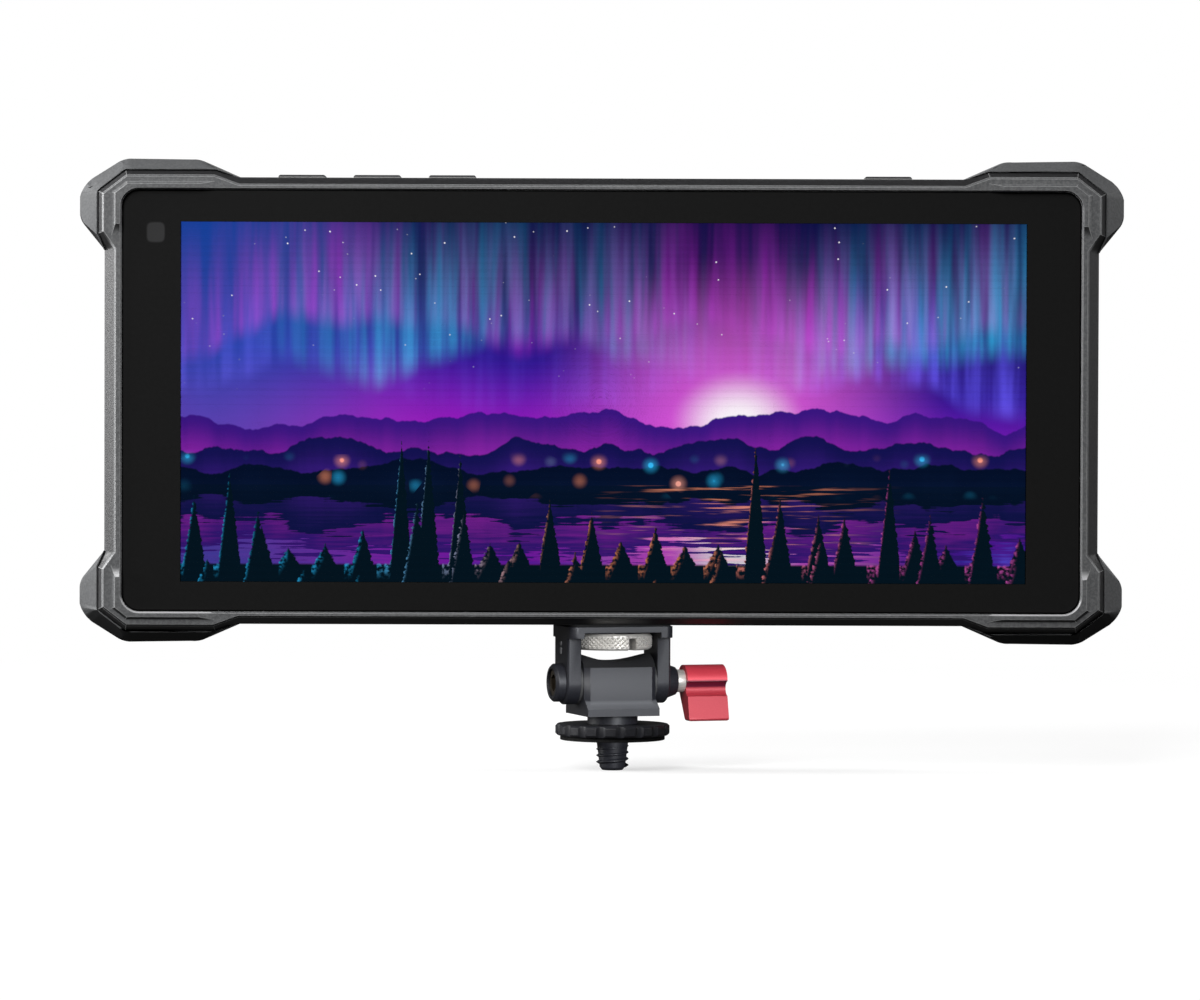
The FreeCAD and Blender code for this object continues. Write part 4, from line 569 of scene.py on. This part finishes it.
class Sky(Finish):
    """The back of the picture."""

    def __init__(self, name):
        super().__init__(name)
        place = self.place()
        self.across = (self.part(place, "X") / MM - picture_middle.x) / picture_size.x + 0.5
        self.up = (self.part(place, "Z") / MM - picture_middle.y) / picture_size.y + 0.5
        self.shape = picture_size.x / picture_size.y
        self.wide = self.across * self.shape

    def wave(self, across, scale, seed, detail=3.0):
        """A smooth line's height, from -0.5 to 0.5."""
        return self.noise(self.vector(across, seed, 0.0), scale, detail) - 0.5

    def spots(self, up, layer, scale, output):
        """A field of scattered spots: the distance to the nearest one, or its own chance colour."""
        sockets = {"Vector": self.vector(self.wide, up, layer), "Scale": scale}
        return self.add("ShaderNodeTexVoronoi", {"feature": "F1"}, sockets, output=output)

    def sky(self, up):
        """Night blue above, magenta and rose towards the ridges, bluer on the left."""
        tilt = up + (self.across - 0.5) * 0.18 + self.wave(self.wide, 1.3, 7.0) * 0.16
        colour = self.mix(self.step(tilt, 0.86, 0.42), NIGHT, VIOLET)
        colour = self.mix(self.step(tilt, 0.62, 0.3), colour, MAGENTA)
        return self.mix(self.step(self.across, 0.34, 0.02) * 0.75, colour, DUSK)

    def glow(self, colour, up):
        """A bright hazy spot behind the ridges, with a wide halo."""
        away = (((self.across - glow_across) * self.shape) ** 2 + ((up - glow_up) * 1.25) ** 2) ** 0.5
        colour = self.mix(self.step(away, 0.62, 0.02) * 0.8, colour, ROSE, "SCREEN")
        return self.mix(self.step(away, 0.2, 0.02), colour, WHITE, "SCREEN")

    def curtain(self, colour, up, seed, foot, tall, tint, strength):
        """One band of northern lights: a wavy foot, fading upwards, with fine upright rays."""
        line = foot + self.wave(self.wide, 1.5, seed) * 0.5
        rise = (up - line) / tall
        rays = self.noise(self.vector(self.wide, seed, up * 0.06), 26.0)
        folds = self.step(self.wave(self.wide, 0.9, seed + 20.0), -0.12, 0.2)
        body = self.step(rise, -0.06, 0.1) * self.step(rise, 1.0, 0.08) * folds
        amount = body * self.spread(self.step(rays, 0.3, 0.72), 0.12, 1.0) * strength
        return self.mix(amount, colour, tint, "SCREEN")

    def stars(self, colour, up):
        amount = self.step(self.spots(up, 3.0, 26.0, "Distance"), 0.085, 0.02) * self.step(up, 0.5, 0.85)
        return self.mix(amount, colour, WHITE, "SCREEN")


print("Glow is", glow_across, "across and", glow_up, "up")

# %% [markdown]
# Ridges and pines are lines too: a spot below the line takes the layer's colour. A ridge is a smooth noise
# with fine detail. A pine is a spike in a cell of its row, with a height of its own and a ragged side, and
# one side catches the light.

# %% Land
CYAN = (0.03, 0.5, 0.95)
BLUE = (0.12, 0.1, 1.0)
AMBER = (1.0, 0.33, 0.16)
DARK_TEAL = (0.001, 0.007, 0.014)
# Seed, foot, height, colour and strength of each band of northern lights
curtain_rows = (
    (2.0, 0.6, 0.5, CYAN, 0.8),
    (5.5, 0.68, 0.42, MAGENTA, 0.95),
    (9.2, 0.52, 0.36, BLUE, 0.7),
)
# Seed, foot, rise, scale, colour and mist of each ridge, from the furthest
ridge_rows = (
    (1.0, 0.46, 0.42, 2.0, (0.04, 0.008, 0.22), (0.3, 0.02, 0.42)),
    (4.0, 0.38, 0.36, 2.6, (0.006, 0.006, 0.08), (0.05, 0.012, 0.24)),
    (8.0, 0.32, 0.2, 4.0, (0.001, 0.005, 0.022), (0.004, 0.012, 0.05)),
)


class Land(Sky):
    """Ridges and pines in front of the sky."""

    def ridge(self, colour, up, seed, foot, rise, scale, tint, mist):
        """A mountain line: below it the tint, paling to mist at its foot."""
        line = foot + self.wave(self.wide, scale, seed, 6.0) * rise
        body = self.mix(self.step(line - up, 0.0, 0.16), tint, mist)
        return self.mix(self.step(line - up, -0.002, 0.004), colour, body)

    def land(self, up):
        colour = self.glow(self.sky(up), up)
        for row in curtain_rows:
            colour = self.curtain(colour, up, *row)
        colour = self.stars(colour, up)
        for row in ridge_rows:
            colour = self.ridge(colour, up, *row)
        return colour

    def pines(self, colour, foot, tall, number, seed):
        """A row of firs: in each cell of a row a spike of its own height."""
        cells = self.wide * number
        cell = self.maths("FLOOR", cells)
        field = {0: self.vector(cell, seed, 0.0)}
        chance = self.add("ShaderNodeTexWhiteNoise", {"noise_dimensions": "2D"}, field)
        grove = self.step(self.wave(cell, 0.31, seed + 3.0), -0.1, 0.12)
        aside = cells - cell - 0.5 - (chance - 0.5) * 0.5
        jag = self.noise(self.vector(self.wide, self.up, seed), 90.0) - 0.5
        spike = (1 - abs(aside) * 3 + jag * 0.5).higher(0.0)
        top = foot + spike * self.spread(chance, 0.45, 1.0) * self.spread(grove, 0.2, 1.0) * tall
        tint = self.mix(self.step(self.across, 0.2, 0.5), CYAN, AMBER)
        tint = self.mix(self.step(self.across, 0.6, 0.85), tint, ROSE)
        rim = self.step(top - self.up, 0.045, 0.0) * self.step(aside, 0.02, -0.12) * self.step(jag, -0.1, 0.2)
        lit = self.mix(rim * 0.6, DARK_TEAL, tint)
        return self.mix(self.step(top - self.up, -0.004, 0.004), colour, lit)


print("Bands of light:", len(curtain_rows), "ridges:", len(ridge_rows))

# %% [markdown]
# The lake is the land again, upside down and shaken by a ripple, which costs one more call of the same
# method. Soft round lights stand along the shore. All of it is emission only, so it looks the same in any
# light.

# %% Lake and whole picture
lake_top = 0.27
# Foot, height, pines across one picture height, and seed of each row, from the back
pine_rows = ((0.05, 0.42, 11.0, 1.5), (-0.05, 0.34, 7.0, 6.5))


class Painting(Land):
    """The whole picture, as layers over each other."""

    def lake(self, land):
        """Water: the land again, upside down and rippled, with streaks of light."""
        ripple = self.noise(self.vector(self.wide * 2.2, self.up * 46, 0.0), 2.2, 3.0)
        mirrored = lake_top * 2 - self.up + (ripple - 0.5) * (lake_top - self.up) * 1.3
        water = self.mix(0.35, self.land(mirrored), DARK_TEAL)
        near_glow = self.step(abs(self.across - glow_across), 0.2, 0.0)
        streaks = self.step(ripple, 0.54, 0.7) * near_glow
        water = self.mix(streaks * 0.8, water, AMBER, "SCREEN")
        return self.mix(self.step(self.up, lake_top - 0.002, lake_top + 0.002), water, land)

    def lamps(self, colour):
        """Soft round lights along the shore, some warm and some cold."""
        away, hue = (self.spots(self.up, 11.0, 17.0, output) for output in ("Distance", "Color"))
        kept = self.step(self.part(hue, "Y"), 0.5, 0.54)
        shore = self.step(abs(self.up - lake_top - 0.03), 0.07, 0.03)
        disc = (self.step(away, 0.16, 0.08) + self.step(away, 0.5, 0.0) * 0.5) * kept * shore
        tint = self.mix(self.step(self.part(hue, "X"), 0.45, 0.55), CYAN, AMBER)
        return self.mix(disc * 0.85, colour, tint, "SCREEN")

    def paint(self):
        colour = self.lamps(self.lake(self.land(self.up)))
        for row in pine_rows:
            colour = self.pines(colour, *row)
        beside = abs(self.across - 0.5).higher(abs(self.up - 0.5))
        return self.close(
            {
                "Base Color": BLACK,
                "Roughness": 0.4,
                "Specular IOR Level": 0.0,
                "Emission Color": self.mix(self.step(beside, 0.4995, 0.5005), colour, BLACK),
                "Emission Strength": 1.0,
            }
        )


finishes["screen"] = Painting("lit_picture").paint()
print("Picture nodes:", len(finishes["screen"].node_tree.nodes))

# %% [markdown]
# ## Give every CAD node its finish
#
# The record says which slot each node belongs to, so one loop dresses all of them, inside pieces too. Two
# have a finish of their own: the hinge block, and the hinge bolt, which is steel like the thumb screw, but
# whose head sits deep in a black cap and is browned with grease.

# %% Finishes on the CAD nodes
own_finish["hinge_bolt"] = metal("aged_bolt", (0.2, 0.17, 0.13), (4.0, 0.4, 0.4), 0.4, (0.3, 0.45), 0.006)
slot_of = {row["node"]: row["material_slot"] for row in frame["record"]["subparts"]}
finish_of = {node: own_finish.get(node, finishes[slot]) for node, slot in slot_of.items()}
for node, material in finish_of.items():
    frame["nodes"][node].data.materials.clear()
    frame["nodes"][node].data.materials.append(material)
print("Dressed nodes:", len(finish_of), "with", len(finishes) + len(own_finish), "finishes")

# %% [markdown]
# ## Rounding real edges
#
# Nothing that is moulded, cast or milled has a perfectly sharp edge: the small round is what catches a line
# of light. A bevel shader only bends the light and leaves the outline sharp. So a copy of each visible
# piece is taken, its loose triangles are merged into flat faces again, and the bevel operator rounds every
# outer edge that is sharper than a limit.

# %% Copy and soften
merge_reach = 0.004
flat_angle = math.radians(0.8)


def copy_of(node):
    shape = bmesh.new()
    shape.from_mesh(frame["nodes"][node].data)
    bmesh.ops.remove_doubles(shape, verts=shape.verts[:], dist=merge_reach * MM)
    bmesh.ops.dissolve_limit(shape, angle_limit=flat_angle, verts=shape.verts[:], edges=shape.edges[:])
    return shape


def bevel(shape, edges, width, rounds, edge_material=-1, clamp=True):
    bmesh.ops.bevel(
        shape,
        geom=edges,
        offset=width * MM,
        offset_type="OFFSET",
        affect="EDGES",
        segments=rounds,
        profile=0.5,
        material=edge_material,
        clamp_overlap=clamp,
    )


def soften(shape, width, rounds=3, limit=28, wanted=lambda edge: True, edge_material=-1, clamp=True):
    """Round the sharp outer edges; the rounds take the material of that number, or the one beside them."""
    sharp = [
        edge
        for edge in shape.edges
        if len(edge.link_faces) == 2
        and edge.is_convex
        and edge.calc_face_angle() > math.radians(limit)
        and wanted(edge)
    ]
    bevel(shape, sharp, width, rounds, edge_material, clamp)
    return shape


print("Faces within", round(math.degrees(flat_angle), 2), "degrees count as one")

# %% [markdown]
# A shape becomes a piece in one place, so every piece is shaded, named and tied to its body in the same
# way. Smooth shading with sharp creases, evened by face size, keeps flat faces flat and rounds round. The
# pieces are noted by body, because the lamps need that list later.

# %% From shape to piece
riders = {}


def as_object(shape, name, material):
    mesh = bpy.data.meshes.new(name)
    shape.to_mesh(mesh)
    shape.free()
    mesh.materials.append(material)
    made = bpy.data.objects.new(name, mesh)
    scene.collection.objects.link(made)
    return made


def finished(shape, name, body, slot, stands_for=(), material=None, crease=42):
    """Turn a bmesh into a piece that rides on a body, with smooth rounds and flat faces."""
    piece = as_object(shape, name, material or finishes[slot])
    piece.data.shade_smooth()
    piece.data.set_sharp_from_angle(angle=math.radians(crease))
    weighted = piece.modifiers.new("even_shading", "WEIGHTED_NORMAL")
    weighted.keep_sharp = True
    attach(piece, body)
    riders.setdefault(body, []).append(piece)
    if stands_for:
        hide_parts(*stands_for)
    print(piece.name, len(piece.data.polygons), "faces")
    return piece


# %% [markdown]
# Most pieces differ only in how large their rounds are: moulded and die-cast ones are soft, turned ones
# crisp.

# %% Rounded pieces
bodies = frame["record"]["behaviour"]["bodies"]
body_of = {node: body for body, nodes in bodies.items() for node in nodes}
rounded_edges = {
    "rear_shell": 0.18,
    "battery_plate": 0.2,
    "battery_latch": 0.25,
    "menu_button": 0.14,
    "left_button": 0.14,
    "right_button": 0.14,
    "power_button": 0.14,
    "tilt_bracket": 0.16,
    "hinge_block": 0.16,
    "hinge_cap": 0.12,
    "thrust_washer": 0.1,
    "tension_lever": 0.1,
    "lever_collar": 0.06,
    "lock_ring": 0.12,
    "ring_pad": 0.1,
}
for node, width in rounded_edges.items():
    shape = soften(copy_of(node), width)
    finished(shape, f"{node}_rounded", body_of[node], slot_of[node], [node], finish_of[node])

# %% [markdown]
# The frame's edges are done by themselves. Its painted edge highlight follows the edges and nothing
# else, and the bevel operator can give its rounds a second material, so the pale lines come with the rounds.

# %% Frame edges
frame_round, frame_limit = 0.13, 18
shape = soften(copy_of("front_frame"), frame_round, 2, frame_limit, edge_material=1)
piece = finished(shape, "front_frame_rounded", "monitor", "frame_paint", ["front_frame"])
piece.data.materials.append(edge_highlight_paint)
print("Frame's edges are rounded by", frame_round, "mm")

# %% [markdown]
# ## Corner guards
#
# The guards are thick soft rubber, so their rounds are larger, and largest where the outline turns a
# corner. A subdivision surface would round them too, but it would pull them away from the case. Two passes
# of the bevel keep the faces that lie against it: only edges that stand clear are rounded, first the
# corners of the outline.

# %% Guards
guard_round, guard_limit = 0.5, 22
guard_bend, bend_limit = 1.2, 20
front_to_back = 0.6
case_low, case_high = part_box("rear_shell")


def stands_clear(edge):
    """True if both ends of an edge stand off the planes of the case's sides."""
    gaps = []
    for end in edge.verts:
        beside = max(case_low.x - end.co.x, end.co.x - case_high.x)
        above = max(case_low.z - end.co.z, end.co.z - case_high.z)
        gaps.append(max(beside, above))
    return min(gaps) > guard_round * MM


def bends(edge):
    """True for the edges that run from front to back, where the guard's outline turns a corner."""
    along = (edge.verts[1].co - edge.verts[0].co).normalized()
    return stands_clear(edge) and abs(along.y) > front_to_back


for corner in ("top_left", "top_right", "bottom_left", "bottom_right"):
    node = f"corner_guard_{corner}"
    shape = soften(copy_of(node), guard_bend, 5, bend_limit, bends, clamp=False)
    shape = soften(shape, guard_round, 3, guard_limit, stands_clear)
    finished(shape, f"guard_{corner}", "monitor", "guard_rubber", [node])

# %% [markdown]
# ## Thumb screw
#
# The screw's head is turned by hand, so its rim is knurled: two sets of crossing grooves leave rows of
# small pyramids. A bump could only shade them, and the rim would stay smooth in outline. So a band of faces
# is bent round the head, and every second corner is pushed out like the squares of a draughtboard. Each
# face is then split between its two low corners, which gives the pyramids their flat sides. Where the slot
# for a coin breaks through the rim, the band is left open.

# %% Knurl
head_low, head_high = 18.05, 20.6
head_radius, band_sink = 7.55, 0.02
knurl_depth = 0.24
knurl_columns, knurl_rows = 96, 6
knurl_crease = 8
slot_half, slot_top = 0.9, 20.2
mount_turn = math.radians(18)
slot_turn = mount_turn + math.radians(13)
slot_across = Vector((math.cos(slot_turn), math.sin(slot_turn), 0))


def knurl_place(column, row):
    """Where a corner of the band lies; of the inner rows, every second corner stands out."""
    inner = 0 < row < knurl_rows
    out = knurl_depth * ((column + row) % 2) if inner else 0.0
    radius = head_radius - band_sink + out
    angle = math.tau * column / knurl_columns
    up = head_low + (head_high - head_low) * row / knurl_rows
    return Vector((radius * math.cos(angle), radius * math.sin(angle), up)) * MM


def over_slot(face):
    middle = face.calc_center_median() / MM
    return abs(middle.dot(slot_across)) < slot_half and middle.z < slot_top


def knurled_band():
    band = bmesh.new()
    bmesh.ops.create_grid(band, x_segments=knurl_columns, y_segments=knurl_rows, size=0.5)
    for corner in band.verts:
        column = round((corner.co.x + 0.5) * knurl_columns)
        row = round((corner.co.y + 0.5) * knurl_rows)
        corner.co = knurl_place(column, row)
    bmesh.ops.remove_doubles(band, verts=band.verts[:], dist=merge_reach * MM)
    for face in band.faces[:]:
        low = sorted(face.verts, key=lambda corner: corner.co.xy.length)[:2]
        bmesh.ops.connect_verts(band, verts=low)
    opened = [face for face in band.faces if over_slot(face)]
    bmesh.ops.delete(band, geom=opened, context="FACES")
    bmesh.ops.recalc_face_normals(band, faces=band.faces[:])
    return band


finished(knurled_band(), "thumb_screw_knurl", "thumb_screw", "silver_steel", crease=knurl_crease)

# %% [markdown]
# ## Base stud
#
# The stud carries the usual tripod thread, a quarter of an inch across with twenty turns to the inch. The
# CAD keeps it as a plain rod. The screw modifier could wind a thread, but the spin operator does it inside
# the same mesh. The rod is drawn in to the bottom of the thread, and a small outline is spun round it while
# it climbs.

# %% Thread
rod_radius, rod_top = 3.175, -0.01
thread_radius, thread_core = 3.17, 2.5
thread_root = thread_core - 0.05
thread_outline = ((thread_root, 0.0), (thread_radius, 0.45), (thread_radius, 0.6), (thread_root, 1.05))
thread_pitch = 1.27
thread_foot, thread_turns = -5.6, 3.5
steps_a_turn = 36


def threaded_stud():
    stud = copy_of("base_stud")
    share = thread_core / rod_radius
    for corner in stud.verts:
        if corner.co.z < rod_top * MM:
            corner.co.x *= share
            corner.co.y *= share
    corners = [stud.verts.new(Vector((out, 0, thread_foot + up)) * MM) for out, up in thread_outline]
    edges = [stud.edges.new(pair) for pair in zip(corners, corners[1:])]
    bmesh.ops.spin(
        stud,
        geom=corners + edges,
        cent=(0, 0, 0),
        axis=(0, 0, 1),
        dvec=(0, 0, thread_pitch * MM / steps_a_turn),
        angle=math.tau * thread_turns,
        steps=round(steps_a_turn * thread_turns),
        use_merge=False,
    )
    bmesh.ops.recalc_face_normals(stud, faces=stud.faces[:])
    return stud


finished(threaded_stud(), "base_stud_threaded", "base", "anodised_black", ["base_stud"])

# %% [markdown]
# ## Index marks
#
# Two small pale marks are let into the outside of the mount's left ear. They could be painted by a mask,
# but they are inlays, so each is a flat oblong with rounded ends, set a hair proud of the ear and turned
# with the mount.

# %% Marks
ear_side = -10.65
mark_places = ((19.0, 0.8), (17.6, 1.3))
mark_wide, mark_thick, mark_corner = 1.2, 0.08, 0.3
mark_print = moulded("mark_print", (0.3, 0.3, 0.31), 0.4, 0.1, (0.5, 0.6), 0.01)


def runs_through(edge):
    """True for the edges that run through the mark's thickness."""
    return abs(edge.verts[0].co.x - edge.verts[1].co.x) > mark_thick * MM / 2


def mark(up, tall):
    shape = bmesh.new()
    bmesh.ops.create_cube(shape, size=1.0)
    bmesh.ops.scale(shape, verts=shape.verts[:], vec=Vector((mark_thick, mark_wide, tall)) * MM)
    bevel(shape, [edge for edge in shape.edges if runs_through(edge)], mark_corner, 3, clamp=False)
    bmesh.ops.translate(shape, verts=shape.verts[:], vec=Vector((ear_side, 0, up)) * MM)
    bmesh.ops.rotate(shape, verts=shape.verts[:], cent=(0, 0, 0), matrix=Matrix.Rotation(mount_turn, 3, "Z"))
    return shape


for number, (up, tall) in enumerate(mark_places, 1):
    finished(mark(up, tall), f"index_mark_{number}", "bracket", "washer_nylon", material=mark_print)

# %% [markdown]
# ## Floor
#
# The floor is a plain pale sheet. A very bright floor would throw its light up at the object, so the rays
# are told apart: the camera sees it white with the object's shadow near the middle, and for light that
# bounces it is dim.

# %% Pale floor
floor_size = 3.0
floor_level = cad_box[0].z
shadow_reach, shadow_core = 0.42, 0.35
mirrored_share = 0.03
dim_shade, paper_shade, paper_glow = 0.05, 0.5, 0.62


def light_path(finish, kind):
    return finish.add("ShaderNodeLightPath", output=f"Is {kind} Ray")


def grey_matt(finish, shade):
    return finish.add("ShaderNodeBsdfDiffuse", sockets={"Color": (shade, shade, shade)})


def white_glow(finish, kind, strength):
    return finish.add(kind, sockets={"Color": (1.0, 1.0, 1.0), "Strength": strength})


def pale_floor():
    finish = Finish("pale_floor")
    seen = light_path(finish, "Camera").higher(light_path(finish, "Transmission"))
    seen = seen.higher(light_path(finish, "Glossy") * mirrored_share)
    away = finish.add("ShaderNodeVectorMath", {"operation": "LENGTH"}, {0: finish.place()}, output="Value")
    far = finish.step(away, shadow_reach * shadow_core, shadow_reach)
    paper = {0: grey_matt(finish, paper_shade), 1: white_glow(finish, "ShaderNodeEmission", paper_glow)}
    near = finish.add("ShaderNodeAddShader", sockets=paper)
    white = white_glow(finish, "ShaderNodeEmission", 1.0)
    pale = finish.add("ShaderNodeMixShader", sockets={0: far, 1: near, 2: white})
    dim = grey_matt(finish, dim_shade)
    return finish.show(finish.add("ShaderNodeMixShader", sockets={0: seen, 1: dim, 2: pale}))


floor_shape = bmesh.new()
bmesh.ops.create_grid(floor_shape, x_segments=1, y_segments=1, size=floor_size)
bmesh.ops.translate(floor_shape, verts=floor_shape.verts[:], vec=(0, 0, floor_level))
floor = as_object(floor_shape, "floor", pale_floor())
print("Floor at", round(floor_level / MM, 2), "mm")

# %% [markdown]
# ## Room
#
# The room is white where the camera looks past the floor, and gives only a little light from all round. The
# world has nodes like a material, so the same class builds them.

# %% World
room_light = 0.07


class Surroundings(Finish):
    """The world, built in the same way as a material."""

    output_kind = "ShaderNodeOutputWorld"

    def __init__(self, name):
        self.start(bpy.data.worlds.new(name))


def studio_room():
    finish = Surroundings("studio")
    seen = light_path(finish, "Camera").higher(light_path(finish, "Transmission"))
    room = white_glow(finish, "ShaderNodeBackground", room_light)
    backdrop = white_glow(finish, "ShaderNodeBackground", 1.0)
    return finish.show(finish.add("ShaderNodeMixShader", sockets={0: seen, 1: room, 2: backdrop}))


scene.view_settings.view_transform = "Standard"
scene.world = studio_room()
print("World is", scene.world.name)

# %% [markdown]
# ## Lamps
#
# One small lamp would throw hard shadows, so five soft square ones share the work: a strong one on the left,
# the key in front and above, a weak one on the right, one behind for the back of the case, and a cool one
# low in front for the black mount.

# %% Softboxes
object_middle = (cad_box[0] + cad_box[1]) / 2
# Name: direction from the object, distance and size in metres, power in watts
lamp_rows = {
    "left_strip": ((-1.0, 0.06, 0.36), 0.8, 0.45, 10.5),
    "front_key": ((-0.38, -0.85, 0.6), 1.0, 0.6, 8.6),
    "right_strip": ((1.0, -0.05, 0.42), 0.9, 0.4, 3.0),
    "back_fill": ((0.25, 1.0, 0.16), 1.2, 0.8, 3.5),
    "mount_card": ((0.36, -0.93, 0.12), 0.9, 0.3, 7.8),
}
cool_white = (0.92, 0.95, 1.0)


def softbox(name, direction, distance, size, power):
    """A square area lamp that looks at the object from a direction."""
    data = bpy.data.lights.new(name, "AREA")
    data.size = size
    data.energy = power
    lamp = bpy.data.objects.new(name, data)
    away = Vector(direction).normalized()
    lamp.location = object_middle + away * distance
    lamp.rotation_mode = "QUATERNION"
    lamp.rotation_quaternion = away.to_track_quat("Z", "Y")
    scene.collection.objects.link(lamp)
    return lamp


lamps = {name: softbox(name, *row) for name, row in lamp_rows.items()}
lamps["mount_card"].data.color = cool_white
print("Lamps:", ", ".join(lamps))

# %% [markdown]
# In a studio a small lamp with a grid would reach the black mount and leave the screen's border dark. Light
# linking does the same: the card's light falls on the mount's pieces alone, and only they throw its shadow.
# The weak lamp behind is for the monitor's back, and it is kept off the mount in the same way.


# %% Light for some pieces alone
def shine_on(lamp, lit_bodies):
    pieces = bpy.data.collections.new(f"{lamp.name}_pieces")
    for body in lit_bodies:
        for node in bodies[body]:
            pieces.objects.link(frame["nodes"][node])
        for piece in riders.get(body, []):
            pieces.objects.link(piece)
    lamp.light_linking.receiver_collection = pieces
    lamp.light_linking.blocker_collection = pieces


shine_on(lamps["mount_card"], ("base", "bracket", "thumb_screw", "lever"))
shine_on(lamps["back_fill"], ("monitor", "latch"))

# %% [markdown]
# ## Camera
#
# The photograph looks almost straight at the screen through a long lens, a little from above the middle of
# the frame. A lens shift could frame it too, but it would stay on in every other view. So the camera stands
# about a metre away, is tipped down by a degree and rolled by a fifth of one.

# %% Camera
photo_wide = 1200
pixels_per_mm = 5.16
camera_distance = 950.0
aim = Vector((-2.6, -13.0, 47.3)) * MM
camera_tip = math.radians(1.17)
camera_roll = math.radians(0.19)
camera_data = bpy.data.cameras.new("camera")
camera_data.sensor_width = 36.0
camera_data.lens = pixels_per_mm * camera_distance * camera_data.sensor_width / photo_wide
camera_data.clip_start = 0.01
camera = bpy.data.objects.new("camera", camera_data)
back = Vector((0, -math.cos(camera_tip), math.sin(camera_tip)))
camera.location = aim + back * camera_distance * MM
turn = back.to_track_quat("Z", "Y").to_matrix() @ Matrix.Rotation(camera_roll, 3, "Z")
camera.rotation_euler = turn.to_euler()
scene.collection.objects.link(camera)
scene.camera = camera
print("Lens", round(camera_data.lens, 1), "mm")

# %% Finish
print("CAD box", [[round(v / MM, 2) for v in c] for c in cad_box])
